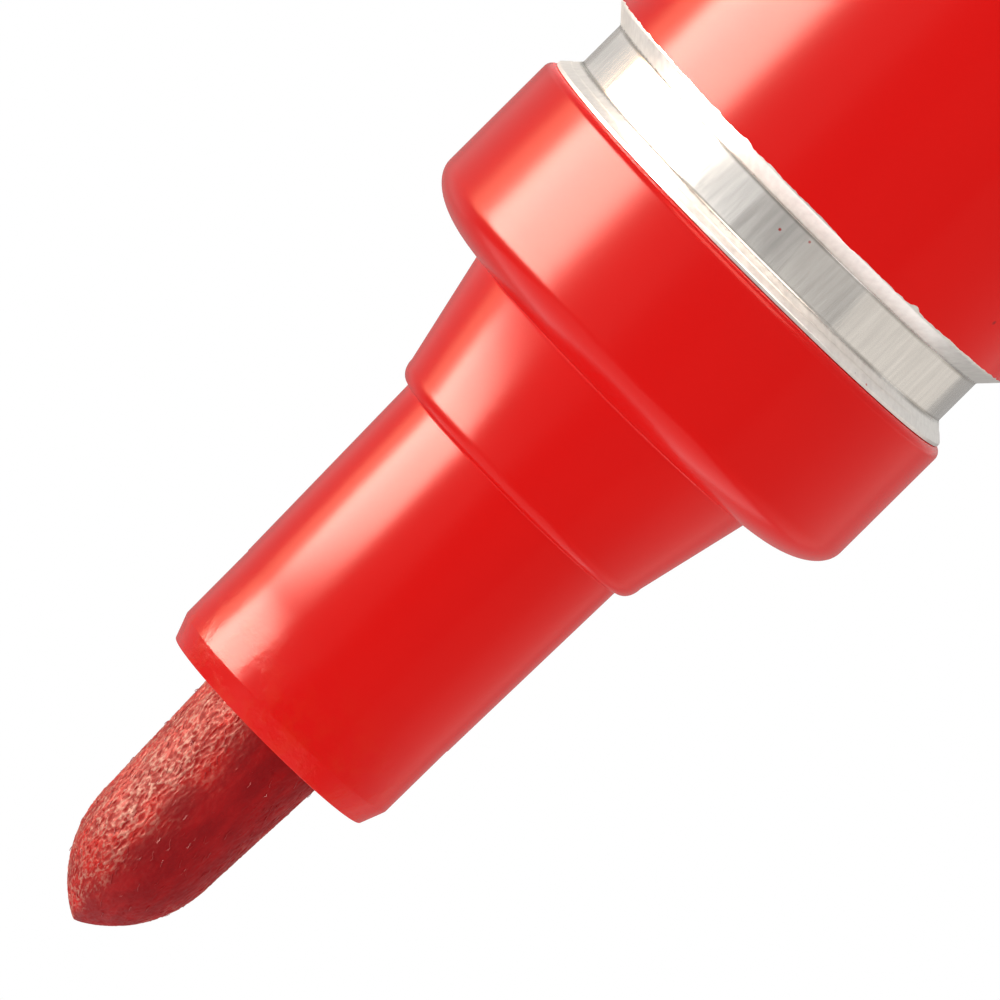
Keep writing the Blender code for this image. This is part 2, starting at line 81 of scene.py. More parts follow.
# Nose
NOZZLE_LENGTH = 10.89 * MM
NOZZLE_FRONT_RADIUS = 4.426 * MM
NOZZLE_BACK_RADIUS = 4.616 * MM
NOZZLE_CHAMFER = (0.82 * MM, 0.31 * MM)  # length and depth
NOZZLE_CORNERS = (0.05 * MM, 0.2 * MM)  # corner radii at the chamfer's two edges
NOZZLE_MARK = 3.54 * MM  # the mould insert's fine step, behind the nozzle's end
MARK_STEP = 0.018 * MM
MARK_LENGTH = 0.04 * MM
CONE_LENGTH = 4.46 * MM
CONE_FRONT_RADIUS = 5.101 * MM
CONE_BACK_RADIUS = 5.981 * MM
CONE_LIP = 0.6 * MM
CONE_ROOT = (0.06 * MM, 0.02 * MM, 0.08 * MM)  # the inner corner at the nozzle: out, up and its radius
COLLAR_LENGTH = 5.9 * MM
COLLAR_BROW = 1.42 * MM
COLLAR_ROOT = (0.12 * MM, 0.01 * MM, 0.12 * MM)  # the same at the cone
LIP_STEPS = 10
BROW_STEPS = 20
COLLAR_BACK_FILLET = 0.32 * MM
PRESSED_HOME = 0.02 * MM  # how much nearer than the seam the collar is seated on the lip
PLUG_LENGTH = 6.5 * MM
PLUG_RADIUS = 6.8 * MM
PLUG_BORE = 5.4 * MM
PLUG_CORNERS = (0.4 * MM, 0.1 * MM)  # corner radii outside and inside the plug's end
VENT_BORE = 3.02 * MM
LAND_LENGTH = 1.6 * MM
GRIP_RIB_RADIUS = 0.45 * MM
GRIP_RIBS = 6
VENT_SLOTS = 3
VENT_SLOT_WIDTH = 0.6 * MM
VENT_SLOT_RUN = 0.5 * MM  # how far a slot runs on past the land
VENT_SLOT_INSET = 0.12 * MM  # how far a slot stays inside the bore behind the land
NIB_BORE_CORNER = 0.03 * MM

# Nib
NIB_TAPER = 0.175 * MM
NIB_POINT = 4.1 * MM
NIB_SHOULDER_POWER = 2.4
NIB_BLUNTNESS = 1.24
NIB_GAP = 0.06 * MM
NIB_LEAN = (0.05 * MM, 0.08 * MM)  # how far the soft nib sits off the axis at the mouth and at the point
NIB_RING_STEP = 0.05 * MM
NIB_FINE_INSIDE = 0.6 * MM  # how far the fine rings go on inside the nose
NIB_TAIL_RINGS = 40
NIB_TAIL_CHAMFER = 0.8 * MM
FELT_DEPTH = 0.065 * MM  # from the top of the fibres to the pits between them
FELT_WORN = 0.35  # the share of that depth left on the side that writes
FELT_POINT = 0.4 * MM  # the pits fade out within this radius at the point
FELT_WANDER = (1.1, 0.25)  # the fibres' slow bend: turns a mm, and its size in mm
FELT_RIDGES = (6.8, 0.42)  # turns a mm across the nib, and the share of that along it
FELT_THREADS = (11.0, 0.5)  # the same, for the finer ones that cross them
FELT_HEIGHTS = (0.13, 0.45, 0.42, 0.12)  # the base, and what ridges, threads and the slow bend add
FELT_PATCHES = ((0.16, 1.6), (0.1, 4.5))  # the worn side's ragged border: size, and turns a mm
WORN_AND_SHADED_WAY = (-0.6, -0.8)  # the side that the nib is worn on, in X and Y; it faces away from the key light, and the felt's darker red there is partly painted shade
WORN_AND_SHADED_SPREAD = (0.42, 0.9)  # cosines from that way: rough below the first, fully worn above the second
FIBRES_FROM = 0.15 * MM  # in front of the nose
FIBRES_END = 0.5 * MM  # short of the point

# Cap
CAP_WALL = 0.95 * MM
CAP_END_WALL = 1.3 * MM
CAP_DRAFT = 0.35 * MM
CAP_EDGE = 0.8 * MM
CAP_GATE_RADIUS = 0.8 * MM
CAP_GATE_DEPTH = 0.12 * MM
CAP_CORNER = 0.1 * MM
CAP_MOUTH_CORNER = 0.15 * MM
SNAP_BEAD = 0.12 * MM
SNAP_BEAD_DROP = 1.0 * MM  # below the mouth
SNAP_BEAD_SLOPE = 0.25 * MM
FLUTE_RADIUS = 0.42 * MM
FLUTE_HEIGHT = 0.22 * MM
FLUTE_COUNT = 32
FLUTE_SPAN = (2.4 * MM, 13.5 * MM)
FLUTE_CLIP_GAP = math.radians(24)
POST_RIBS = 6
POST_RIB_TOP = 7.8 * MM  # below the mouth
POST_RIB_LOW = 8.3 * MM
POST_RIB_SUNK = 0.28 * MM  # in the cap's wall
RIB_END_POWER = 12.0  # an even whole power: a higher one keeps a rib full nearer to its ends
RIB_END_TOP = 1.04  # a little over 1, so that the ends keep a small flat
SEAL_SOCKET = (0.8 * MM, 3.5 * MM)  # wall and height
SEAL_WALL = 0.7 * MM
SEAL_FLOOR = 0.8 * MM
SEAL_BEAD_GAP = 0.09 * MM  # round the nozzle
SEAL_BEAD_DROP = 1.6 * MM  # below the seal's mouth
SEAL_BEAD = (0.2 * MM, 0.8 * MM)  # half its height at its crest and at its root
SEAL_CORNERS = (0.5 * MM, 0.15 * MM, 0.2 * MM, 0.35 * MM)  # at the floor, bead, mouth and foot
SEAL_STEPS = 128
CLIP_WIDTH = 4.2 * MM
CLIP_THICKNESS = 1.3 * MM
CLIP_GAP = 1.3 * MM
CLIP_ROOT = (1.6 * MM, 5.8 * MM)
CLIP_LENGTH = 26.5 * MM
CLIP_BUMP = 3.0 * MM
CLIP_BUMP_GAP = 0.3 * MM
CLIP_SUNK = 0.5 * MM  # how deep the root is sunk in the cap's wall
CLIP_CORNERS = (0.55 * MM, 0.8 * MM, 0.6 * MM, 0.4 * MM, 0.3 * MM, 1.0 * MM, 1.2 * MM)  # from the root on
CLIP_ROUNDING = 0.35 * MM

# Camera
VIEW_WIDTH = 31.45 * MM
CAMERA_DISTANCE = 0.63
CAMERA_TILT = math.radians(4.1)
CAMERA_ROLL = math.radians(44.76)
CAMERA_AIM = 0.57 * MM  # in front of the cone

# Studio: name, bearing and elevation in degrees, distance, width and height in metres, radiance, colour,
# and whether the panel lights gloss or matt colour
PANELS = (
    ("key_softbox", 74, 2, 0.45, (0.37, 0.36), 36, "#FFF4E8", "gloss"),
    ("key_spill", 103, 2, 0.45, (0.17, 0.36), 6.5, "#FFCFA4", "gloss"),
    ("back_left_panel", 134, 4, 0.45, (0.32, 0.5), 0.3, "#FFFFFF", "gloss"),
    ("near_panel", 33, 2, 0.5, (0.32, 0.4), 0.42, "#FFFFFF", "gloss"),
    ("far_panel", -30, 8, 0.5, (0.3, 0.5), 0.14, "#FFF6EA", "gloss"),
    ("fill_softbox", -95, 8, 0.5, (0.95, 0.6), 0.42, "#FFF6EA", "gloss"),
    ("ceiling_panel", 0, 88, 0.7, (1.2, 1.2), 1.3, "#FFFFFF", "gloss"),
    ("low_panel", 2, -50, 0.12, (0.12, 0.07), 6.5, "#FFEEDF", "gloss"),
    ("left_wash", 38, 20, 1.3, (1.3, 1.3), 1.2, "#FFFFFF", "matt"),
    ("right_wash", -118, 34, 1.3, (1.3, 1.3), 0.9, "#FFFFFF", "matt"),
    ("top_wash", 0, 88, 1.2, (2.0, 2.0), 0.3, "#FFFFFF", "matt"),
)
ROOM = ("#F6F3F0", 0.42)  # what gloss reflects round the panels: colour and strength
WASH = ("#FFFFFF", 0.47)  # the even light on matt colour
FLOOR_RADIUS = 1.6

TURN_STEPS = 256
METAL_STEPS = 900  # fine enough for the dents that the neck's rolling leaves
NIB_STEPS = 380
SHARP_EDGE = math.radians(32)  # edges that turn more than this stay sharp
ARC_STEP = math.radians(12)  # of a rounded corner in an outline
TOO_NEAR_AXIS = 1e-9


# Mesh tools


def fillet(corners):
    """The outline through (radius, Z, corner radius) points, with each corner rounded by an arc."""
    points = []
    count = len(corners)
    for i, (r, z, round_by) in enumerate(corners):
        here = Vector((r, z))
        if round_by <= 0:
            points.append(here)
            continue
        before = (Vector(corners[i - 1][:2]) - here).normalized()
        after = (Vector(corners[(i + 1) % count][:2]) - here).normalized()
        half = before.angle(after) / 2
        reach = round_by / math.tan(half)
        centre = here + (before + after).normalized() * (round_by / math.sin(half))
        start = here + before * reach - centre
        sweep = start.angle_signed(here + after * reach - centre)
        steps = max(3, math.ceil(abs(sweep) / ARC_STEP))
        for step in range(steps + 1):
            turn = -sweep * step / steps
            c, s = math.cos(turn), math.sin(turn)
            points.append(centre + Vector((start.x * c - start.y * s, start.x * s + start.y * c)))
    return points


def rounding(inner_r, top_z, outer_r, low_z, steps):
    """Corners along a quarter ellipse from a flat face at (inner_r, top_z) to a wall at (outer_r, low_z)."""
    corners = []
    for step in range(steps + 1):
        angle = math.pi / 2 * step / steps
        r = inner_r + (outer_r - inner_r) * math.sin(angle)
        corners.append((r, low_z + (top_z - low_z) * math.cos(angle), 0))
    return corners


def add_piece(name, mesh, material, body, replaces=()):
    """A finished piece of the marker, at the origin, with one material."""
    piece = bpy.data.objects.new(name, mesh)
    bpy.context.scene.collection.objects.link(piece)
    mesh.materials.clear()
    mesh.materials.append(material)
    mesh.shade_smooth()
    mesh.set_sharp_from_angle(angle=SHARP_EDGE)
    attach(piece, body)
    if replaces:
        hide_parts(*replaces)
    return piece


def turned_mesh(name, outline, steps=TURN_STEPS):
    """A closed mesh turned about Z from an outline of (radius, Z) points; a radius of 0 is a pole."""
    rings = []
    verts = []
    angles = np.arange(steps) * (math.tau / steps)
    for r, z in outline:
        first = len(verts)
        if r < TOO_NEAR_AXIS:
            verts.append((0.0, 0.0, z))
            rings.append([first] * steps)
        else:
            verts += zip(r * np.cos(angles), r * np.sin(angles), [z] * steps)
            rings.append(list(range(first, first + steps)))
    faces = []
    for upper, lower in zip(rings, rings[1:] + rings[:1]):
        if upper[0] == upper[1] and lower[0] == lower[1]:
            continue
        for i in range(steps):
            j = (i + 1) % steps
            corners = [upper[i], lower[i], lower[j], upper[j]]
            faces.append(list(dict.fromkeys(corners)))
    mesh = bpy.data.meshes.new(name)
    mesh.from_pydata(verts, [], faces)
    return outward(mesh)


def outward(mesh):
    """The mesh with all its faces pointing outwards."""
    bm = bmesh.new()
    bm.from_mesh(mesh)
    bmesh.ops.recalc_face_normals(bm, faces=bm.faces)
    bm.to_mesh(mesh)
    bm.free()
    return mesh


def settled(name, mesh, add_modifiers):
    """A plain mesh: what the modifiers that add_modifiers(object) puts on make of the mesh."""
    source = bpy.data.objects.new(name, mesh)
    bpy.context.scene.collection.objects.link(source)
    helpers = add_modifiers(source) or []
    graph = bpy.context.evaluated_depsgraph_get()
    made = bpy.data.meshes.new_from_object(source.evaluated_get(graph))
    made.name = name
    for unused in [source, *helpers]:
        bpy.data.objects.remove(unused)
    return made


def settled_tree(name, tree, sizes, mesh=None):
    """A plain mesh: what a geometry tree makes, from a mesh or from nothing, with these values of its named
    inputs."""

    def add_tree(source):
        modifier = source.modifiers.new(name, "NODES")
        modifier.node_group = tree
        for item in tree.interface.items_tree:
            if item.name in sizes:
                modifier[item.identifier] = sizes[item.name]

    return settled(name, mesh or bpy.data.meshes.new("no_base"), add_tree)


# Nodes and materials


def linear(hex_colour):
    """Linear RGBA of an sRGB hex colour."""
    value = int(hex_colour.lstrip("#"), 16)
    channels = [((value >> shift) & 255) / 255 for shift in (16, 8, 0)]
    return (*[c / 12.92 if c <= 0.04045 else ((c + 0.055) / 1.055) ** 2.4 for c in channels], 1.0)


def add_node(tree, kind, inputs=None, **settings):
    """Adds a node with its settings; inputs gives each socket a value or another node's output."""
    made = tree.nodes.new(kind)
    for key, value in settings.items():
        setattr(made, key, value)
    for key, value in (inputs or {}).items():
        if isinstance(value, bpy.types.NodeSocket):
            tree.links.new(value, made.inputs[key])
        else:
            made.inputs[key].default_value = value
    return made


def finish_of(name, **sockets):
    """A new material, its tree, its shader and its Object coordinates in millimetres."""
    made = bpy.data.materials.new(name)
    made.use_nodes = True
    tree = made.node_tree
    shader = tree.nodes["Principled BSDF"]
    for key, value in sockets.items():
        shader.inputs[key.replace("_", " ")].default_value = value
    place = add_node(tree, "ShaderNodeTexCoord").outputs["Object"]
    in_mm = add_node(tree, "ShaderNodeVectorMath", {0: place, "Scale": 1 / MM}, operation="SCALE")
    return made, tree, shader, in_mm.outputs[0]


def clouded(tree, place, scale, detail, first, second):
    """A soft pattern of so many turns a millimetre, and the two colours that it clouds together."""
    cloud = add_node(tree, "ShaderNodeTexNoise", {"Vector": place, "Scale": scale, "Detail": detail})
    share = cloud.outputs["Fac"]
    ends = {0: share, 6: linear(first), 7: linear(second)}
    return share, add_node(tree, "ShaderNodeMix", ends, data_type="RGBA").outputs[2]


def end_finish(tree, shader, colour, rough=None, relief=None):
    """Joins a finish to its shader. rough is a pattern and the roughness where it is 0 and where it is 1.
    relief is a pattern, its strength and its depth in metres."""
    tree.links.new(colour, shader.inputs["Base Color"])
    if rough:
        pattern, at_0, at_1 = rough
        ranged = add_node(tree, "ShaderNodeMapRange", {"Value": pattern, "To Min": at_0, "To Max": at_1})
        tree.links.new(ranged.outputs["Result"], shader.inputs["Roughness"])
    if relief:
        pattern, strength, depth = relief
        bump = add_node(tree, "ShaderNodeBump", {"Height": pattern, "Strength": strength, "Distance": depth})
        tree.links.new(bump.outputs[0], shader.inputs["Normal"])


RED_CLOUD = ("#F20B05", "#E80A0C")  # the two near reds of the lacquer and of the moulded plastic
RED_GLOSS = {"Specular_IOR_Level": 0.2, "Specular_Tint": linear("#FFF0E4")}  # soft, with a warm cast


def red_lacquer():
    """Stoved lacquer, rolled on to the can: a deep even red with a wet gloss, faint orange peel and a speck
    of dust every few millimetres."""
    made, tree, shader, mm = finish_of("red_lacquer_stoved", Roughness=0.22, **RED_GLOSS)
    red = clouded(tree, mm, 0.12, 2.0, *RED_CLOUD)[1]
    dust = add_node(tree, "ShaderNodeTexVoronoi", {"Vector": mm, "Scale": 0.28})
    away = dust.outputs["Distance"]
    close_by = {"Value": away, "From Min": 0.012, "From Max": 0.03, "To Min": 1.0, "To Max": 0.0}
    speck = add_node(tree, "ShaderNodeMapRange", close_by).outputs["Result"]
    dust_and_shade = add_node(tree, "ShaderNodeMix", {0: speck, 6: red, 7: linear("#9A1414")}, data_type="RGBA")
    peel = add_node(tree, "ShaderNodeTexNoise", {"Vector": mm, "Scale": 1.4, "Detail": 1.0})
    end_finish(tree, shader, dust_and_shade.outputs[2], relief=(peel.outputs["Fac"], 0.25, 0.004 * MM))
    return made


def drawn_aluminium():
    """Bare drawn aluminium, rolled at the neck: bright, softly blurred along the drawing lines, milky with
    oxide, scuffed to a satin on the groove's flanks and darkened by a painted shade in the groove's corners,
    with fine dark specks and flecks of the red coat."""
    made, tree, shader, mm = finish_of("aluminium_drawn", Metallic=0.8)
    drawn_out = {"Vector": mm, "Scale": (1.0, 1.0, 0.09)}
    lengthwise = add_node(tree, "ShaderNodeMapping", drawn_out).outputs[0]
    streaks, grey = clouded(tree, lengthwise, 5.0, 4.0, "#D3CFCB", "#F6F3EE")
    fine = add_node(tree, "ShaderNodeTexNoise", {"Vector": lengthwise, "Scale": 16.0, "Detail": 2.0})

    pits = add_node(tree, "ShaderNodeTexVoronoi", {"Vector": mm, "Scale": 1.1})
    from_pit = pits.outputs["Distance"]
    close_by = {"Value": from_pit, "From Min": 0.04, "From Max": 0.075, "To Min": 1.0, "To Max": 0.0}
    pit = add_node(tree, "ShaderNodeMapRange", close_by).outputs["Result"]
    sparse = {"Vector": mm, "Scale": 0.45, "Detail": 0.0}
    patches = add_node(tree, "ShaderNodeTexNoise", sparse).outputs["Fac"]
    patch = add_node(tree, "ShaderNodeMapRange", {"Value": patches, "From Min": 0.5, "From Max": 0.56})
    shown = add_node(tree, "ShaderNodeMath", {0: pit, 1: patch.outputs["Result"]}, operation="MULTIPLY")
    either = add_node(tree, "ShaderNodeSeparateColor", {0: pits.outputs["Color"]}).outputs["Red"]
    is_red = add_node(tree, "ShaderNodeMath", {0: either, 1: 0.55}, operation="GREATER_THAN").outputs[0]
    speck_or_fleck = {0: is_red, 6: linear("#6A4A52"), 7: linear("#CC3B38")}
    fleck = add_node(tree, "ShaderNodeMix", speck_or_fleck, data_type="RGBA").outputs[2]
    flecked = {0: shown.outputs[0], 6: grey, 7: fleck}
    marked = add_node(tree, "ShaderNodeMix", flecked, data_type="RGBA").outputs[2]

    height = add_node(tree, "ShaderNodeSeparateXYZ", {0: mm}).outputs["Z"]
    middle = (groove_top_z + groove_low_z) / 2 / MM
    half_floor = GROOVE_FLOOR / 2 / MM
    from_middle = add_node(tree, "ShaderNodeMath", {0: height, 1: middle}, operation="SUBTRACT").outputs[0]
    away = add_node(tree, "ShaderNodeMath", {0: from_middle}, operation="ABSOLUTE").outputs[0]
    from_corner = add_node(tree, "ShaderNodeMath", {0: away, 1: half_floor}, operation="SUBTRACT").outputs[0]
    near_corner = add_node(tree, "ShaderNodeMath", {0: from_corner}, operation="ABSOLUTE").outputs[0]
    # Painted shade: the groove's two inner corners are mixed towards grey #8C857C, unevenly in patches,
    # where shade falls
    dust_and_shade = {"Value": near_corner, "From Min": 0.02, "From Max": 0.1, "To Min": 1.0, "To Max": 0.0}
    corner_shade = add_node(tree, "ShaderNodeMapRange", dust_and_shade).outputs["Result"]
    uneven = {"Value": patches, "From Min": 0.3, "From Max": 0.65, "To Min": 0.25, "To Max": 0.8}
    shade_patches = add_node(tree, "ShaderNodeMapRange", uneven).outputs["Result"]
    painted_corner_shade = add_node(tree, "ShaderNodeMath", {0: corner_shade, 1: shade_patches}, operation="MULTIPLY").outputs[0]
    corner_shaded = add_node(tree, "ShaderNodeMix", {0: painted_corner_shade, 6: marked, 7: linear("#8C857C")}, data_type="RGBA")

    polish = add_node(tree, "ShaderNodeMapRange", {"Value": streaks, "To Min": 0.12, "To Max": 0.24})
    on_flank = {"From Min": half_floor - 0.05, "From Max": half_floor + 0.1, "To Min": 0.0, "To Max": 0.14}
    scuffed = add_node(tree, "ShaderNodeMapRange", {"Value": away, **on_flank})
    both = {0: polish.outputs["Result"], 1: scuffed.outputs["Result"]}
    rough = add_node(tree, "ShaderNodeMath", both, operation="ADD")
    tree.links.new(rough.outputs[0], shader.inputs["Roughness"])
    end_finish(tree, shader, corner_shaded.outputs[2], relief=(fine.outputs["Fac"], 0.35, 0.006 * MM))
    return made


def moulded_red(name, inked_from, inked_to):
    """Red polypropylene from a polished mould: a clear gloss with slow sink marks. Above the height
    inked_from, and fully from inked_to (in mm along the axis), fingered ink has dried in thin smudges."""
    made, tree, shader, mm = finish_of(name, **RED_GLOSS)
    height = add_node(tree, "ShaderNodeSeparateXYZ", {0: mm}).outputs["Z"]
    rise = {"Value": height, "From Min": inked_from, "From Max": inked_to}
    reach = add_node(tree, "ShaderNodeMapRange", rise).outputs["Result"]
    fingered = {"Vector": mm, "Scale": 0.9, "Detail": 5.0, "Roughness": 0.62}
    blots = add_node(tree, "ShaderNodeTexNoise", fingered).outputs["Fac"]
    blot = add_node(tree, "ShaderNodeMapRange", {"Value": blots, "From Min": 0.46, "From Max": 0.62})
    both = {0: reach, 1: blot.outputs["Result"]}
    ink = add_node(tree, "ShaderNodeMath", both, operation="MULTIPLY").outputs[0]
    flow, red = clouded(tree, mm, 0.18, 1.0, *RED_CLOUD)
    inked = add_node(tree, "ShaderNodeMix", {0: ink, 6: red, 7: linear("#EC1C0A")}, data_type="RGBA")
    end_finish(tree, shader, inked.outputs[2], rough=(ink, 0.23, 0.27))
    sink = add_node(tree, "ShaderNodeBump", {"Height": flow, "Strength": 0.15, "Distance": 0.05 * MM})
    dried = {"Height": ink, "Strength": 0.5, "Distance": 0.025 * MM, "Normal": sink.outputs[0]}
    film = add_node(tree, "ShaderNodeBump", dried)
    tree.links.new(film.outputs[0], shader.inputs["Normal"])
    return made


def inked_felt():
    """Polyester fibre, needled and pressed into a rod, soaked with red ink: pale ridges of fibre over red
    pits, and a smooth dark red on the side that writes. On the rough side, which faces the key light, the
    pale ridges are partly a painted highlight and the darker pits a painted shade; the worn side's darker
    red is partly a painted shade."""
    gloss = {"Specular_IOR_Level": 0.17, "Specular_Tint": linear("#FFDCC8")}
    made, tree, shader, mm = finish_of("polyester_felt_pressed", **gloss)
    lift = add_node(tree, "ShaderNodeAttribute", attribute_name="fibre_lift").outputs["Fac"]
    rough_lit_side = add_node(tree, "ShaderNodeAttribute", attribute_name="felt_rough").outputs["Fac"]
    drawn_out = {"Vector": mm, "Scale": (1.0, 1.0, 0.36)}
    lengthwise = add_node(tree, "ShaderNodeMapping", drawn_out).outputs[0]
    soft = {"Vector": lengthwise, "Scale": 2.0, "Detail": 3.0}
    tufts = add_node(tree, "ShaderNodeTexNoise", soft).outputs["Fac"]
    close = {"Vector": lengthwise, "Scale": 9.0, "Detail": 2.0}
    threads = add_node(tree, "ShaderNodeTexNoise", close).outputs["Fac"]

    share = {}  # of each effect, between two limits of a pattern
    for name, pattern, low, high, at_low, at_high in (
        ("ink", tufts, 0.4, 0.66, 0.0, 1.0),
        ("thin_ink", tufts, 0.42, 0.6, 0.9, 0.6),
        ("out_of_pit", lift, 0.34, 0.6, 0.0, 1.0),
        ("on_top", lift, 0.52, 0.72, 0.0, 1.0),
        ("crest", threads, 0.42, 0.58, 0.0, 1.0),
    ):
        limits = {"Value": pattern, "From Min": low, "From Max": high, "To Min": at_low, "To Max": at_high}
        share[name] = add_node(tree, "ShaderNodeMapRange", limits).outputs["Result"]
    sides = []
    # The worn side's reds are darker than the rough side's: partly painted shade, as the worn side faces
    # away from the key light
    for little_ink, much_ink in (("#930C16", "#A81018"), ("#A80D12", "#D81512")):
        ends = {0: share["ink"], 6: linear(little_ink), 7: linear(much_ink)}
        sides.append(add_node(tree, "ShaderNodeMix", ends, data_type="RGBA").outputs[2])
    shaded_worn_to_lit_rough = {0: rough_lit_side, 6: sides[0], 7: sides[1]}
    wet = add_node(tree, "ShaderNodeMix", shaded_worn_to_lit_rough, data_type="RGBA").outputs[2]
    # Painted shade: the pits on the rough side are mixed towards a darker red
    in_pit = add_node(tree, "ShaderNodeMath", {0: 1.0, 1: share["out_of_pit"]}, operation="SUBTRACT")
    rough_pit = {0: in_pit.outputs[0], 1: rough_lit_side}
    pit_shade = add_node(tree, "ShaderNodeMath", rough_pit, operation="MULTIPLY").outputs[0]
    pit_shaded = add_node(tree, "ShaderNodeMix", {0: pit_shade, 6: wet, 7: linear("#A60A10")}, data_type="RGBA")
    # Painted highlight, partly: fibre crests are mixed towards a pale pink only on the rough side, which
    # faces the key light
    crest_highlight = share["on_top"]
    for part in (share["crest"], rough_lit_side, share["thin_ink"]):
        crest_highlight = add_node(tree, "ShaderNodeMath", {0: crest_highlight, 1: part}, operation="MULTIPLY").outputs[0]
    highlighted_crests = {0: crest_highlight, 6: pit_shaded.outputs[2], 7: linear("#CE8674")}
    fibres = add_node(tree, "ShaderNodeMix", highlighted_crests, data_type="RGBA").outputs[2]
    end_finish(tree, shader, fibres, rough=(lift, 0.8, 0.34), relief=(threads, 0.6, 0.03 * MM))
    return made


def inked_fibre():
    """A loose polyester fibre with ink dried on it: a thin glossy thread, paler than the felt below."""
    gloss = {"Roughness": 0.3, "Specular_IOR_Level": 0.3}
    made, tree, shader, mm = finish_of("polyester_fibre_drawn", **gloss)
    end_finish(tree, shader, clouded(tree, mm, 1.6, 1.0, "#A01218", "#B5302C")[1])
    return made


def soaked_wad():
    """Bundled polyester tow, full of ink: lengthwise threads, dark where the ink sits deepest."""
    made, tree, shader, mm = finish_of("polyester_tow_bundled", Roughness=0.7)
    lengthwise = add_node(tree, "ShaderNodeMapping", {"Vector": mm, "Scale": (1.0, 1.0, 0.04)}).outputs[0]
    threads, red = clouded(tree, lengthwise, 6.0, 4.0, "#7E0F18", "#C8303A")
    end_finish(tree, shader, red, relief=(threads, 0.8, 0.1 * MM))
    return made


def wrap_film():
    """Clear polypropylene film, wrapped tight on the wad: a pale skin with lengthwise creases."""
    made, tree, shader, mm = finish_of("polypropylene_film_blown", Transmission_Weight=0.6, IOR=1.49)
    lengthwise = add_node(tree, "ShaderNodeMapping", {"Vector": mm, "Scale": (1.0, 1.0, 0.1)}).outputs[0]
    creases, tint = clouded(tree, lengthwise, 1.2, 3.0, "#F0C9C9", "#FFF2F0")
    end_finish(tree, shader, tint, rough=(creases, 0.1, 0.3), relief=(creases, 0.6, 0.08 * MM))
    return made


def black_rubber():
    """Moulded nitrile rubber: matt near-black with a dusty bloom."""
    made, tree, shader, mm = finish_of("nitrile_rubber_moulded", IOR=1.52)
    bloom, black = clouded(tree, mm, 1.5, 4.0, "#151515", "#2E2C2B")
    end_finish(tree, shader, black, rough=(bloom, 0.5, 0.8))
    return made


def milky_polyethylene():
    """Uncoloured moulded polyethylene: a milky white that light enters, stained by ink at its mouth."""
    waxy = {"Roughness": 0.42, "Subsurface_Weight": 0.3, "Subsurface_Scale": 1.5 * MM}
    made, tree, shader, mm = finish_of("polyethylene_natural_moulded", **waxy)
    milk = clouded(tree, mm, 0.4, 2.0, "#E6E2DA", "#F3F0EA")[1]
    splashed = {"Vector": mm, "Scale": 1.1, "Detail": 4.0}
    stain = add_node(tree, "ShaderNodeTexNoise", splashed).outputs["Fac"]
    blots = {"Value": stain, "From Min": 0.56, "From Max": 0.68, "To Min": 0.0, "To Max": 0.5}
    stained = add_node(tree, "ShaderNodeMapRange", blots).outputs["Result"]
    pink = add_node(tree, "ShaderNodeMix", {0: stained, 6: milk, 7: linear("#D98A86")}, data_type="RGBA")
    end_finish(tree, shader, pink.outputs[2])
    return made


def floor_paper():
    """Matt white paper: even and pale with no sheen, and with a soft tooth."""
    matt = {"Roughness": 0.9, "Specular_IOR_Level": 0.0, "Base_Color": linear("#F4F3F1")}
    made, tree, shader, mm = finish_of("paper_matt_white", **matt)
    tooth = add_node(tree, "ShaderNodeTexNoise", {"Vector": mm, "Scale": 1.2, "Detail": 3.0}).outputs["Fac"]
    bump = add_node(tree, "ShaderNodeBump", {"Height": tooth, "Strength": 0.1, "Distance": 0.05 * MM})
    tree.links.new(bump.outputs[0], shader.inputs["Normal"])
    return made


# Geometry trees


def new_tree(name, whole, *lengths):
    """A geometry tree with a Geometry output, and inputs for Geometry, one whole number and some floats."""
    tree = bpy.data.node_groups.new(name, "GeometryNodeTree")
    tree.interface.new_socket("Geometry", in_out="OUTPUT", socket_type="NodeSocketGeometry")
    sockets = {"Geometry": "NodeSocketGeometry", whole: "NodeSocketInt"}
    sockets.update(dict.fromkeys(lengths, "NodeSocketFloat"))
    for size, kind in sockets.items():
        tree.interface.new_socket(size, in_out="INPUT", socket_type=kind)
    return tree, add_node(tree, "NodeGroupInput").outputs


def end_tree(tree, geometry, material):
    """Ends a tree in Realize Instances and Set Material."""
    real = add_node(tree, "GeometryNodeRealizeInstances", {0: geometry})
    painted = add_node(tree, "GeometryNodeSetMaterial", {0: real.outputs[0], "Material": material})
    add_node(tree, "NodeGroupOutput", {0: painted.outputs[0]})
    return tree


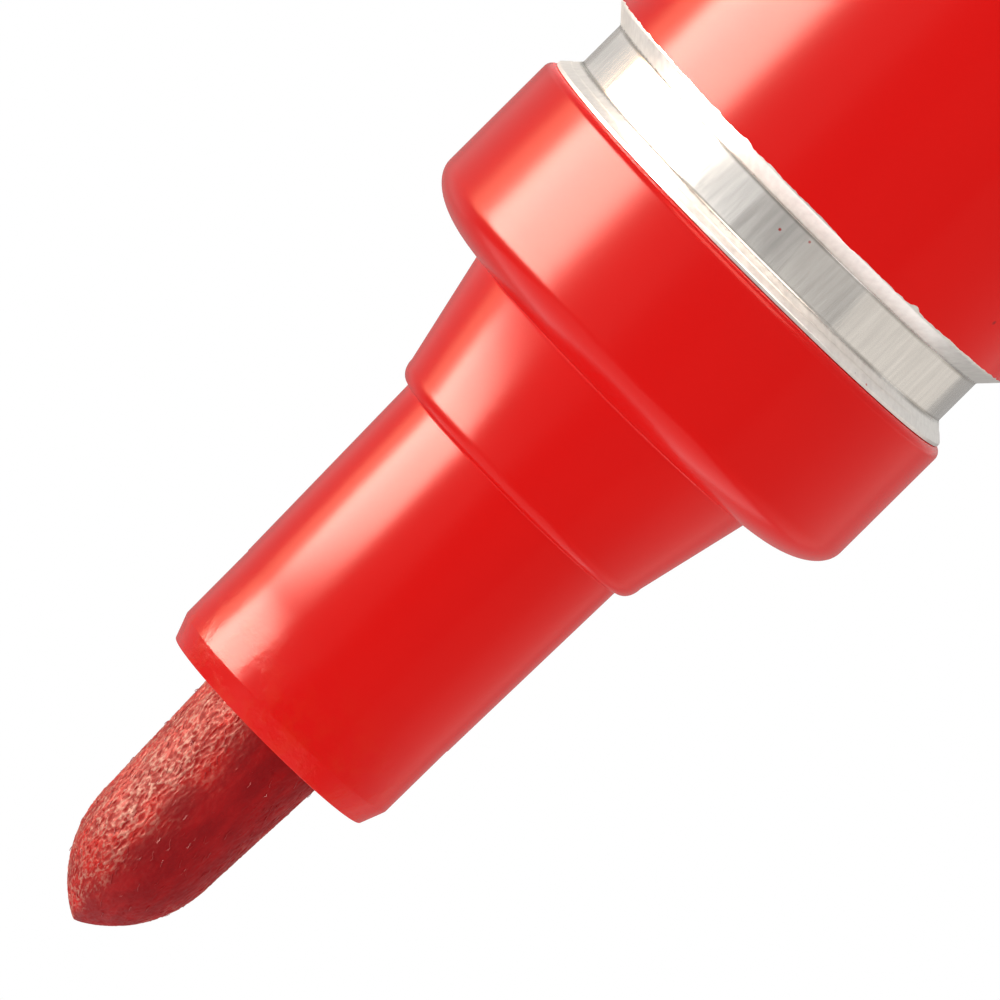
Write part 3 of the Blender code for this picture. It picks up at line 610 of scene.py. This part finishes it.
def rib_tree(material):
    """Round-ended ribs that stand in a ring about the axis, left out on the +X side past Gap X."""
    lengths = ("Ring Radius", "Rib Radius", "Low", "High", "Gap X")
    tree, given = new_tree("ribs_round_the_axis", "Count", *lengths)
    circle = {"Vertices": given["Count"], "Radius": given["Ring Radius"]}
    ring = add_node(tree, "GeometryNodeMeshCircle", circle).outputs[0]
    place = add_node(tree, "GeometryNodeInputPosition").outputs[0]
    x = add_node(tree, "ShaderNodeSeparateXYZ", {0: place}).outputs["X"]
    limit = {0: x, 1: given["Gap X"]}
    too_far = add_node(tree, "FunctionNodeCompare", limit, operation="GREATER_THAN").outputs[0]
    gap = {"Geometry": ring, "Selection": too_far}
    kept = add_node(tree, "GeometryNodeDeleteGeometry", gap).outputs[0]
    points = add_node(tree, "GeometryNodeMeshToPoints", {"Mesh": kept}).outputs[0]
    low = add_node(tree, "ShaderNodeCombineXYZ", {"Z": given["Low"]}).outputs[0]
    high = add_node(tree, "ShaderNodeCombineXYZ", {"Z": given["High"]}).outputs[0]
    line = add_node(tree, "GeometryNodeCurvePrimitiveLine", {"Start": low, "End": high}).outputs[0]
    fine = add_node(tree, "GeometryNodeResampleCurve", {"Curve": line, "Count": 24}).outputs[0]
    along = add_node(tree, "GeometryNodeSplineParameter").outputs["Factor"]
    from_middle = add_node(tree, "ShaderNodeMath", {0: along, 1: 2.0, 2: -1.0}, operation="MULTIPLY_ADD")
    steepened = {0: from_middle.outputs[0], 1: RIB_END_POWER}
    steep = add_node(tree, "ShaderNodeMath", steepened, operation="POWER").outputs[0]
    rest = add_node(tree, "ShaderNodeMath", {0: RIB_END_TOP, 1: steep}, operation="SUBTRACT").outputs[0]
    taper = add_node(tree, "ShaderNodeMath", {0: rest}, operation="SQRT").outputs[0]
    full = {0: taper, 1: given["Rib Radius"]}
    thick = add_node(tree, "ShaderNodeMath", full, operation="MULTIPLY").outputs[0]
    round_section = {"Resolution": 16, "Radius": 1.0}
    section = add_node(tree, "GeometryNodeCurvePrimitiveCircle", round_section).outputs[0]
    shape = {"Curve": fine, "Profile Curve": section, "Scale": thick, "Fill Caps": True}
    rib = add_node(tree, "GeometryNodeCurveToMesh", shape).outputs[0]
    ribs = add_node(tree, "GeometryNodeInstanceOnPoints", {"Points": points, "Instance": rib}).outputs[0]
    return end_tree(tree, ribs, material)


def add_ribs(name, material, body, slot, count, ring, radius, span, gap_x=1.0):
    """A piece of ribs in a ring about the axis, over a span of heights, with none past gap_x in metres."""
    sizes = {"Count": count, "Ring Radius": ring, "Rib Radius": radius, "Gap X": gap_x}
    sizes["Low"], sizes["High"] = span
    add_piece(name, settled_tree(name, rib_tree(material), sizes), material, body)


def fibre_tree(material):
    """Short bent threads that lie on the nib's skin, roughly along it, each at its own slant and size."""
    lengths = ("Density", "Fibre Length", "Fibre Radius", "Bow", "Slant", "Lift", "Highest Z")
    tree, given = new_tree("loose_fibres", "Seed", *lengths)
    place = add_node(tree, "GeometryNodeInputPosition").outputs[0]
    height = add_node(tree, "ShaderNodeSeparateXYZ", {0: place}).outputs["Z"]
    limit = {0: height, 1: given["Highest Z"]}
    below = add_node(tree, "FunctionNodeCompare", limit, operation="LESS_THAN").outputs[0]
    scatter = {"Selection": below, "Density": given["Density"], "Seed": given["Seed"]}
    kind = "GeometryNodeDistributePointsOnFaces"
    points = add_node(tree, kind, {"Mesh": given["Geometry"], **scatter}).outputs
    normal = points["Normal"]
    own = {}
    for name, least, most in (("slant", -1.0, 1.0), ("twist", 0.0, math.tau), ("size", 0.35, 1.3)):
        limits = {2: least, 3: most, "Seed": given["Seed"]}
        own[name] = add_node(tree, "FunctionNodeRandomValue", limits, data_type="FLOAT").outputs[1]

    aside = {0: normal, 1: (0.0, 0.0, 1.0)}
    sideways = add_node(tree, "ShaderNodeVectorMath", aside, operation="CROSS_PRODUCT").outputs[0]
    lean = add_node(tree, "ShaderNodeMath", {0: own["slant"], 1: given["Slant"]}, operation="MULTIPLY")
    leant = {0: sideways, "Scale": lean.outputs[0]}
    leaning = add_node(tree, "ShaderNodeVectorMath", leant, operation="SCALE").outputs[0]
    onward = add_node(tree, "ShaderNodeVectorMath", {0: sideways, 1: normal}, operation="CROSS_PRODUCT")
    both = {0: onward.outputs[0], 1: leaning}
    heading = add_node(tree, "ShaderNodeVectorMath", both, operation="ADD").outputs[0]
    own_turn = add_node(tree, "ShaderNodeCombineXYZ", {"Z": own["twist"]}).outputs[0]
    spun = add_node(tree, "FunctionNodeEulerToRotation", {0: own_turn}).outputs[0]
    headed = {"Rotation": spun, "Vector": heading}
    turned = add_node(tree, "FunctionNodeAlignRotationToVector", headed).outputs[0]

    ends = []
    for share in (-0.5, 0.5):
        z = add_node(tree, "ShaderNodeMath", {0: given["Fibre Length"], 1: share}, operation="MULTIPLY")
        ends.append(add_node(tree, "ShaderNodeCombineXYZ", {"Z": z.outputs[0]}).outputs[0])
    middle = add_node(tree, "ShaderNodeCombineXYZ", {"X": given["Bow"]}).outputs[0]
    bent = {"Resolution": 5, "Start": ends[0], "Middle": middle, "End": ends[1]}
    thread = add_node(tree, "GeometryNodeCurveQuadraticBezier", bent).outputs[0]
    round_section = {"Resolution": 5, "Radius": given["Fibre Radius"]}
    section = add_node(tree, "GeometryNodeCurvePrimitiveCircle", round_section).outputs[0]
    shape = {"Curve": thread, "Profile Curve": section, "Fill Caps": True}
    fibre = add_node(tree, "GeometryNodeCurveToMesh", shape).outputs[0]

    raised = add_node(tree, "ShaderNodeVectorMath", {0: normal, "Scale": given["Lift"]}, operation="SCALE")
    off_skin = {"Geometry": points[0], "Offset": raised.outputs[0]}
    lifted = add_node(tree, "GeometryNodeSetPosition", off_skin).outputs[0]
    placed = {"Points": lifted, "Instance": fibre, "Rotation": turned, "Scale": own["size"]}
    fibres = add_node(tree, "GeometryNodeInstanceOnPoints", placed).outputs[0]
    return end_tree(tree, fibres, material)


# Places

barrel_low, barrel_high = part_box("barrel_can")
holder_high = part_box("nib_holder")[1]
nib_low, nib_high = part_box("bullet_nib")
cap_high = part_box("cap_shell")[1]
seal_low, seal_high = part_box("cap_inner_seal")
tail_z, mouth_z = barrel_low.z, barrel_high.z
barrel_radius = barrel_high.x
collar_radius = holder_high.x
nib_radius = nib_high.x
nozzle_end_z = holder_high.z
cone_front_z = nozzle_end_z - NOZZLE_LENGTH
collar_front_z = cone_front_z - CONE_LENGTH
collar_back_z = collar_front_z - COLLAR_LENGTH
groove_top_z = mouth_z - LIP_LENGTH - LIP_FLARE
groove_low_z = groove_top_z - GROOVE_FLOOR
shoulder_z = groove_low_z - GROOVE_FLANK
cap_radius = cap_high.y
cap_mouth_z = cap_high.z
cap_bore = cap_radius - CAP_WALL
seal_radius = seal_high.x
nib_bore = nib_radius + NIB_GAP


# Camera and studio


def camera():
    """A long lens, square to the marker but for a slight look up from the tail's side, and rolled."""
    forward = Vector((0, math.cos(CAMERA_TILT), math.sin(CAMERA_TILT)))
    along = Vector((0, -math.sin(CAMERA_TILT), math.cos(CAMERA_TILT)))
    side = Vector((1, 0, 0))
    c, s = math.cos(CAMERA_ROLL), math.sin(CAMERA_ROLL)
    up = side * c - along * s
    right = -side * s - along * c
    target = Vector((0, 0, cone_front_z + CAMERA_AIM))
    data = bpy.data.cameras.new("camera")
    data.sensor_width = 36
    data.lens = data.sensor_width * CAMERA_DISTANCE / VIEW_WIDTH
    made = bpy.data.objects.new("camera", data)
    bpy.context.scene.collection.objects.link(made)
    turn = Matrix((right, up, -forward)).transposed().to_4x4()
    made.matrix_world = Matrix.Translation(target - forward * CAMERA_DISTANCE) @ turn
    bpy.context.scene.camera = made


def softbox(name, bearing, elevation, distance, size, radiance, colour, lights):
    """A panel of light turned to the marker's front end. Its bearing is in degrees from the camera's side
    towards +X. lights says whether it lights gloss or matt colour."""
    turn, rise = math.radians(bearing), math.radians(elevation)
    outward_way = Vector((math.sin(turn) * math.cos(rise), -math.cos(turn) * math.cos(rise), math.sin(rise)))
    data = bpy.data.lights.new(name, "AREA")
    data.shape = "RECTANGLE"
    data.size, data.size_y = size
    data.energy = radiance * math.pi * size[0] * size[1]
    data.color = linear(colour)[:3]
    light = bpy.data.objects.new(name, data)
    bpy.context.scene.collection.objects.link(light)
    light.location = Vector((0, 0, collar_front_z)) + outward_way * distance
    light.rotation_euler = outward_way.to_track_quat("Z", "Y").to_euler()
    light.visible_camera = False
    light.visible_diffuse = lights != "gloss"
    light.visible_glossy = lights != "matt"


def studio():
    """A white background, a dim room for reflections, and even light for matt colour."""
    scene = bpy.context.scene
    scene.view_settings.view_transform = "Standard"
    world = bpy.data.worlds.new("white_studio")
    scene.world = world
    world.use_nodes = True
    world.cycles.sampling_method = "NONE"
    tree = world.node_tree
    white = tree.nodes["Background"]
    white.inputs["Color"].default_value = (1, 1, 1, 1)
    room = add_node(tree, "ShaderNodeBackground", {"Color": linear(ROOM[0]), "Strength": ROOM[1]})
    wash = add_node(tree, "ShaderNodeBackground", {"Color": linear(WASH[0]), "Strength": WASH[1]})
    path = add_node(tree, "ShaderNodeLightPath")
    by_kind = {0: path.outputs["Is Diffuse Ray"], 1: room.outputs[0], 2: wash.outputs[0]}
    light = add_node(tree, "ShaderNodeMixShader", by_kind)
    by_view = {0: path.outputs["Is Camera Ray"], 1: light.outputs[0], 2: white.outputs[0]}
    final = add_node(tree, "ShaderNodeMixShader", by_view)
    tree.links.new(final.outputs[0], tree.nodes["World Output"].inputs["Surface"])
    for panel in PANELS:
        softbox(*panel)
    mesh = bpy.data.meshes.new("floor")
    bm = bmesh.new()
    bmesh.ops.create_circle(bm, cap_ends=True, segments=96, radius=FLOOR_RADIUS)
    bm.to_mesh(mesh)
    bm.free()
    floor = bpy.data.objects.new("floor", mesh)
    scene.collection.objects.link(floor)
    mesh.materials.append(floor_paper())


# Barrel


def can_outline():
    """The can's outside from its mouth to its tail, then back up the inside."""
    metal = barrel_radius - LACQUER
    neck = barrel_radius - GROOVE_DEPTH
    lip = barrel_radius - LIP_DEPTH
    floor_z = tail_z + BARREL_END_WALL
    crease_z = groove_top_z + 0.5 * LIP_FLARE
    crease_r = neck + 0.5 * (lip - neck)
    corners = [
        (lip, mouth_z, LIP_CORNERS[0]),
        (lip, mouth_z - LIP_LENGTH, LIP_CORNERS[1]),
        (crease_r + 2 * CREASE, crease_z + CREASE_RISE, CREASE_CORNER),
        (crease_r - CREASE, crease_z, CREASE_CORNER),
        (neck, groove_top_z, GROOVE_CORNER),
        (neck, groove_low_z, GROOVE_CORNER),
        (metal, shoulder_z, SHOULDER_CORNER),
        (metal, shoulder_z - STRAIGHT_FROM, 0),
        (metal, tail_z, TAIL_EDGE),
        (0, tail_z, 0),
        (0, floor_z, 0),
        (metal - BARREL_WALL, floor_z, TAIL_EDGE - BARREL_WALL),
        (metal - BARREL_WALL, shoulder_z, 0),
        (neck - BARREL_WALL, groove_low_z, 0),
        (neck - BARREL_WALL, groove_top_z, 0),
        (lip - BARREL_WALL, mouth_z - LIP_LENGTH, 0),
        (lip - BARREL_WALL, mouth_z, 0),
    ]
    return fillet(corners)


def roll_dents(mesh):
    """Gives the rolled neck the shallow lengthwise dents that the roller leaves."""
    inside = barrel_radius - GROOVE_DEPTH - DENT_REACH
    for vertex in mesh.vertices:
        x, y, z = vertex.co
        r = math.hypot(x, y)
        if z < shoulder_z or r < inside:
            continue
        turn = Vector((x / r, y / r, 0))
        push = 0.0
        for around, along, share in DENT_WAVES:
            push += share * noise.noise(turn * around + Vector((0, 0, z / MM * along)))
        vertex.co += turn * (DENT_DEPTH * push)


def lacquer_edge(turn):
    """How far the coat's edge wanders along the axis at a direction: a slow wave with a few small chips."""
    ragged = sum(height * noise.noise(turn * turns) for height, turns in COAT_WAVES)
    chip_height, chip_turns, rarity = COAT_CHIPS
    own_chips = Vector((0, 0, 5))  # sets them apart from the waves
    chip = chip_height * max(0.0, noise.noise(turn * chip_turns + own_chips) - rarity)
    return (ragged - chip) * MM


def make_barrel():
    """The bare can, and the coat that is rolled on to it up to the neck."""
    outline = can_outline()
    metal = turned_mesh("barrel", outline, METAL_STEPS)
    roll_dents(metal)
    add_piece("barrel", metal, drawn_aluminium(), "marker", ["barrel_can"])

    outside = sorted((p.y, p.x) for p in outline[: outline.index(min(outline, key=lambda p: p.x))])
    outside = [(z, r) for z, r in outside if z < groove_low_z]
    heights, radii = zip(*outside)
    edge_z = shoulder_z - COAT_EDGE
    ring_z = [edge_z - fall * MM for fall in COAT_RINGS] + [tail_z + TAIL_EDGE]
    outer = [(barrel_radius, z) for z in ring_z]
    inner = [(barrel_radius - LACQUER - LACQUER_ROOT, z) for z in reversed(ring_z)]
    coat = turned_mesh("lacquer", outer + inner, METAL_STEPS)
    for vertex in coat.vertices:
        x, y, z = vertex.co
        r = math.hypot(x, y)
        turn = Vector((x / r, y / r, 0))
        near_edge = max(0.0, 1 - (edge_z - z) / (COAT_RINGS[-1] * MM))
        z += lacquer_edge(turn) * near_edge
        sunk = LACQUER_ROOT + LACQUER if r < barrel_radius - LACQUER else 0.0
        wall = float(np.interp(z, heights, radii)) + LACQUER - sunk
        vertex.co = (turn.x * wall, turn.y * wall, z)
    add_piece("lacquer", coat, red_lacquer(), "marker")


# Nose


def make_nose():
    """The moulded nose with its bore, its vent slots and the ribs that grip the nib."""
    chamfer_length, chamfer_depth = NOZZLE_CHAMFER
    mark_z = nozzle_end_z - NOZZLE_MARK
    root_out, root_up, root_corner = CONE_ROOT
    corners = [
        (NOZZLE_FRONT_RADIUS - chamfer_depth, nozzle_end_z, NOZZLE_CORNERS[0]),
        (NOZZLE_FRONT_RADIUS, nozzle_end_z - chamfer_length, NOZZLE_CORNERS[1]),
        (NOZZLE_FRONT_RADIUS + MARK_STEP, mark_z, 0),
        (NOZZLE_FRONT_RADIUS + 2 * MARK_STEP, mark_z - MARK_LENGTH, 0),
        (NOZZLE_BACK_RADIUS, cone_front_z + root_up, root_corner),
    ]
    lip_z = cone_front_z - CONE_LIP
    corners += rounding(NOZZLE_BACK_RADIUS + root_out, cone_front_z, CONE_FRONT_RADIUS, lip_z, LIP_STEPS)
    root_out, root_up, root_corner = COLLAR_ROOT
    corners.append((CONE_BACK_RADIUS, collar_front_z + root_up, root_corner))
    brow_z = collar_front_z - COLLAR_BROW
    corners += rounding(CONE_BACK_RADIUS + root_out, collar_front_z, collar_radius, brow_z, BROW_STEPS)
    corners += [
        (collar_radius, collar_back_z - PRESSED_HOME, COLLAR_BACK_FILLET),
        (PLUG_RADIUS, collar_back_z - PRESSED_HOME, 0),
        (PLUG_RADIUS, collar_back_z - PLUG_LENGTH, PLUG_CORNERS[0]),
        (PLUG_BORE, collar_back_z - PLUG_LENGTH, PLUG_CORNERS[1]),
        (PLUG_BORE, collar_back_z + COLLAR_LENGTH / 2, 0),
        (VENT_BORE, cone_front_z - CONE_LENGTH / 2, 0),
        (VENT_BORE, nozzle_end_z - LAND_LENGTH, 0),
        (nib_bore, nozzle_end_z - LAND_LENGTH, 0),
        (nib_bore, nozzle_end_z, NIB_BORE_CORNER),
    ]
    moulded = moulded_red("polypropylene_moulded_inky", mark_z / MM, nozzle_end_z / MM - 0.6)

    def cut_vents(source):
        depth = LAND_LENGTH + VENT_SLOT_RUN
        reach = VENT_BORE - VENT_SLOT_INSET
        cutters = []
        for index in range(VENT_SLOTS):
            angle = math.tau * (index / VENT_SLOTS + 0.5 / GRIP_RIBS)
            mesh = bpy.data.meshes.new("vent_cutter")
            bm = bmesh.new()
            middle = Matrix.Translation((reach * 0.75, 0, nozzle_end_z))
            size = Matrix.Diagonal((reach * 0.5, VENT_SLOT_WIDTH, 2 * depth, 1))
            bmesh.ops.create_cube(bm, size=1.0, matrix=Matrix.Rotation(angle, 4, "Z") @ middle @ size)
            bm.to_mesh(mesh)
            bm.free()
            cutter = bpy.data.objects.new("vent_cutter", mesh)
            bpy.context.scene.collection.objects.link(cutter)
            boolean = source.modifiers.new("vent", "BOOLEAN")
            boolean.operation = "DIFFERENCE"
            boolean.object = cutter
            cutters.append(cutter)
        return cutters

    body = settled("nose", turned_mesh("nose_blank", fillet(corners)), cut_vents)
    add_piece("nose", body, moulded, "marker", ["nib_holder"])
    ring = nib_radius + NIB_GAP / 2 + GRIP_RIB_RADIUS
    span = (cone_front_z, nozzle_end_z - LAND_LENGTH / 2)
    where = ("marker", "holder_plastic")
    add_ribs("nose_grip_ribs", moulded, *where, GRIP_RIBS, ring, GRIP_RIB_RADIUS, span)


# Nib


def nib_wall(depth):
    """The nib's radius at a depth behind its point."""
    neck = nib_radius - NIB_TAPER
    if depth < NIB_POINT:
        fullness = 1 - (1 - depth / NIB_POINT) ** NIB_SHOULDER_POWER
        return neck * fullness ** (1 / NIB_BLUNTNESS)
    straight = nib_high.z - nozzle_end_z - NIB_POINT
    return neck + NIB_TAPER * min(1.0, (depth - NIB_POINT) / straight)


def nib_outline():
    """Rings at even steps along the wall where the nib shows, and wider ones inside the nose."""
    probe = 0.002 * MM  # the short step that the wall's slope is measured over
    points = [(0.0, nib_high.z)]
    depth = 0.0
    while depth < nib_high.z - nozzle_end_z + NIB_FINE_INSIDE:
        slope = (nib_wall(depth + probe) - nib_wall(depth)) / probe
        depth += NIB_RING_STEP / math.hypot(1, slope)
        points.append((nib_wall(depth), nib_high.z - depth))
    inside = np.linspace(nib_high.z - depth, nib_low.z + NIB_TAIL_CHAMFER, NIB_TAIL_RINGS)[1:]
    points += [(nib_radius, z) for z in inside]
    points += [(nib_radius - NIB_TAIL_CHAMFER, nib_low.z), (0.0, nib_low.z)]
    return points


def felt_lift(place):
    """How high the felt stands at a place, from 0 in a pit to 1 on a fibre: crossing lengthwise ridges."""
    mm = place / MM
    slow, bend_size = FELT_WANDER
    apart = (Vector((7, 0, 0)), Vector((0, 0, 31)))  # keep the patterns from repeating each other
    wander = noise.noise(mm * slow)
    bend = Vector((wander, noise.noise(mm * slow + apart[0]), 0)) * bend_size
    turns, along = FELT_RIDGES
    ridge = 1 - 2 * abs(noise.noise(Vector((mm.x + bend.x, mm.y + bend.y, mm.z * along)) * turns))
    turns, along = FELT_THREADS
    fine = Vector((mm.x - bend.y, mm.y + bend.x, mm.z * along)) * turns
    thread = 1 - 2 * abs(noise.noise(fine + apart[1]))
    base, from_ridge, from_thread, from_bend = FELT_HEIGHTS
    return max(0.0, min(1.0, base + from_ridge * ridge + from_thread * thread + from_bend * wander))


def felt_rough(place):
    """How rough the felt still is at a place, from 0 where writing has worn it to 1, in soft patches."""
    across = Vector((place.x, place.y, 0)).normalized()
    facing = across.dot(Vector((*WORN_AND_SHADED_WAY, 0)))
    patch = sum(size * noise.noise(place / MM * turns) for size, turns in FELT_PATCHES)
    still_rough, worn = WORN_AND_SHADED_SPREAD
    share = min(1.0, max(0.0, (worn - facing - patch) / (worn - still_rough)))
    return share * share * (3 - 2 * share)


def nib_lean(z):
    """How far the nib stands off the axis at a height: none inside the nose, most at the point."""
    at_mouth, at_point = NIB_LEAN
    if z < nozzle_end_z:
        upright_by = 0.9 * LAND_LENGTH
        return at_mouth * max(0.0, 1 - (nozzle_end_z - z) / upright_by)
    return at_mouth + (at_point - at_mouth) * (z - nozzle_end_z) / (nib_high.z - nozzle_end_z)


def make_nib():
    """The felt rod with its pits, worn on the side that writes, and the loose fibres on its skin."""
    felt = turned_mesh("nib", nib_outline(), NIB_STEPS)
    lift = [felt_lift(vertex.co) for vertex in felt.vertices]
    rough = [felt_rough(vertex.co) for vertex in felt.vertices]
    felt.attributes.new("fibre_lift", "FLOAT", "POINT").data.foreach_set("value", lift)
    felt.attributes.new("felt_rough", "FLOAT", "POINT").data.foreach_set("value", rough)
    for vertex, high, share in zip(felt.vertices, lift, rough):
        place = vertex.co.copy()
        r = math.hypot(place.x, place.y)
        if r > 0:
            left = FELT_WORN + (1 - FELT_WORN) * share
            pit = FELT_DEPTH * left * (1 - high) * min(1.0, r / FELT_POINT)
            shrink = 1 - pit / r
            vertex.co = (place.x * shrink, place.y * shrink, place.z)
        vertex.co.x += nib_lean(place.z)
    shown = felt.copy()
    add_piece("nib", felt, inked_felt(), "nib", ["bullet_nib"])

    cut_z = nozzle_end_z + FIBRES_FROM
    bm = bmesh.new()
    bm.from_mesh(shown)
    hidden = [vertex for vertex in bm.verts if vertex.co.z < cut_z]
    bmesh.ops.delete(bm, geom=hidden, context="VERTS")
    bm.to_mesh(shown)
    bm.free()
    sizes = {
        "Density": 5 / MM**2,
        "Fibre Length": 0.22 * MM,
        "Fibre Radius": 0.009 * MM,
        "Bow": 0.04 * MM,
        "Slant": 0.9,
        "Lift": 0.004 * MM,
        "Highest Z": nib_high.z - FIBRES_END,
        "Seed": 4,
    }
    thread = inked_fibre()
    fibres = settled_tree("nib_fibres", fibre_tree(thread), sizes, shown)
    add_piece("nib_fibres", fibres, thread, "nib")


# Cap


def make_cap():
    """The cap: its shell, the flutes outside it, the ribs inside it, its clip and its seal."""
    plastic = moulded_red("polypropylene_moulded", cap_mouth_z / MM - 0.5, cap_mouth_z / MM + 4)
    end_radius = cap_radius - CAP_DRAFT
    socket_wall, socket_height = SEAL_SOCKET
    socket_inner = seal_radius + NIB_GAP
    bead_z = cap_mouth_z - SNAP_BEAD_DROP
    corners = [
        (0, CAP_END_WALL, 0),
        (socket_inner, CAP_END_WALL, 0),
        (socket_inner, CAP_END_WALL + socket_height, CAP_CORNER),
        (socket_inner + socket_wall, CAP_END_WALL + socket_height, CAP_CORNER),
        (socket_inner + socket_wall, CAP_END_WALL, 0),
        (cap_bore - CAP_DRAFT / 2, CAP_END_WALL, CAP_EDGE),
        (cap_bore, cap_mouth_z - POST_RIB_TOP, 0),
        (cap_bore, bead_z - SNAP_BEAD_SLOPE, 0),
        (cap_bore - SNAP_BEAD, bead_z, CAP_MOUTH_CORNER),
        (cap_bore, bead_z + SNAP_BEAD_SLOPE, 0),
        (cap_bore + SNAP_BEAD, cap_mouth_z, CAP_CORNER),
        (cap_radius, cap_mouth_z, CAP_MOUTH_CORNER),
        (end_radius, 0, CAP_EDGE),
        (CAP_GATE_RADIUS, 0, 0),
        (CAP_GATE_RADIUS, CAP_GATE_DEPTH, 0),
        (0, CAP_GATE_DEPTH, 0),
    ]
    shell = turned_mesh("cap", fillet(corners))
    add_piece("cap", shell, plastic, "cap", ["cap_shell"])

    where = ("cap", "cap_plastic")
    ring = end_radius + FLUTE_HEIGHT - FLUTE_RADIUS
    clip_x = ring * math.cos(FLUTE_CLIP_GAP)
    add_ribs("cap_grip_flutes", plastic, *where, FLUTE_COUNT, ring, FLUTE_RADIUS, FLUTE_SPAN, clip_x)
    post_inner = barrel_radius + NIB_GAP
    post_radius = (cap_bore + POST_RIB_SUNK - post_inner) / 2
    span = (POST_RIB_LOW, cap_mouth_z - POST_RIB_TOP)
    add_ribs("cap_post_ribs", plastic, *where, POST_RIBS, post_inner + post_radius, post_radius, span)
    make_clip(plastic, end_radius)
    make_seal()


def make_clip(plastic, end_radius):
    """The clip: an outline in the XZ plane, given its width, with its edges rounded over."""
    arm_inner = cap_radius + CLIP_GAP
    arm_outer = arm_inner + CLIP_THICKNESS
    root_inner = end_radius - CLIP_SUNK
    bump = cap_radius + CLIP_BUMP_GAP
    root_low, root_high = CLIP_ROOT
    free_end = root_low + CLIP_LENGTH
    bump_low = free_end - CLIP_BUMP
    corners = [
        (arm_inner, root_high),
        (arm_inner, bump_low - CLIP_GAP),
        (bump, bump_low + CLIP_BUMP / 3),
        (bump, free_end - CLIP_BUMP / 3),
        (bump + CLIP_GAP / 2, free_end),
        (arm_outer, free_end),
        (arm_outer, root_low),
    ]
    rounded = [(*place, round_by) for place, round_by in zip(corners, CLIP_CORNERS)]
    outline = fillet([(root_inner, root_low, 0), (root_inner, root_high, 0), *rounded])
    bm = bmesh.new()
    half = CLIP_WIDTH / 2
    sides = [[bm.verts.new((p.x, y, p.y)) for p in outline] for y in (-half, half)]
    bm.faces.new(sides[0])
    bm.faces.new(sides[1][::-1])
    for i, near in enumerate(sides[0]):
        j = (i + 1) % len(outline)
        bm.faces.new((near, sides[1][i], sides[1][j], sides[0][j]))
    mesh = bpy.data.meshes.new("clip_blank")
    bmesh.ops.recalc_face_normals(bm, faces=bm.faces)
    bm.to_mesh(mesh)
    bm.free()

    def soften(source):
        bevel = source.modifiers.new("soften", "BEVEL")
        bevel.width = CLIP_ROUNDING
        bevel.segments = 4
        bevel.angle_limit = math.radians(60)

    add_piece("cap_clip", settled("cap_clip", mesh, soften), plastic, "cap")


def make_seal():
    """The soft cup in the cap, with the bead that closes round the nozzle."""
    bore = seal_radius - SEAL_WALL
    bead = NOZZLE_FRONT_RADIUS + SEAL_BEAD_GAP
    bead_z = seal_high.z - SEAL_BEAD_DROP
    floor_z = seal_low.z + SEAL_FLOOR
    crest, root = SEAL_BEAD
    at_floor, at_bead, at_mouth, at_foot = SEAL_CORNERS
    corners = [
        (0, floor_z, 0),
        (bore, floor_z, at_floor),
        (bore, bead_z - root, 0),
        (bead, bead_z - crest, at_bead),
        (bead, bead_z + crest, at_bead),
        (bore, bead_z + root, 0),
        (bore, seal_high.z, at_mouth),
        (seal_radius, seal_high.z, at_mouth),
        (seal_radius, seal_low.z, at_foot),
        (0, seal_low.z, 0),
    ]
    mesh = turned_mesh("cap_liner", fillet(corners), SEAL_STEPS)
    add_piece("cap_liner", mesh, milky_polyethylene(), "cap", ["cap_inner_seal"])


def dress_hidden_pieces():
    """Materials for the pieces inside the barrel, whose shapes are right as they are."""
    finishes = {"ink_wad": soaked_wad(), "wad_wrap": wrap_film(), "packing_ring": black_rubber()}
    for name, material in finishes.items():
        for material_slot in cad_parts[name].material_slots:
            material_slot.material = material


camera()
studio()
make_barrel()
make_nose()
make_nib()
make_cap()
dress_hidden_pieces()
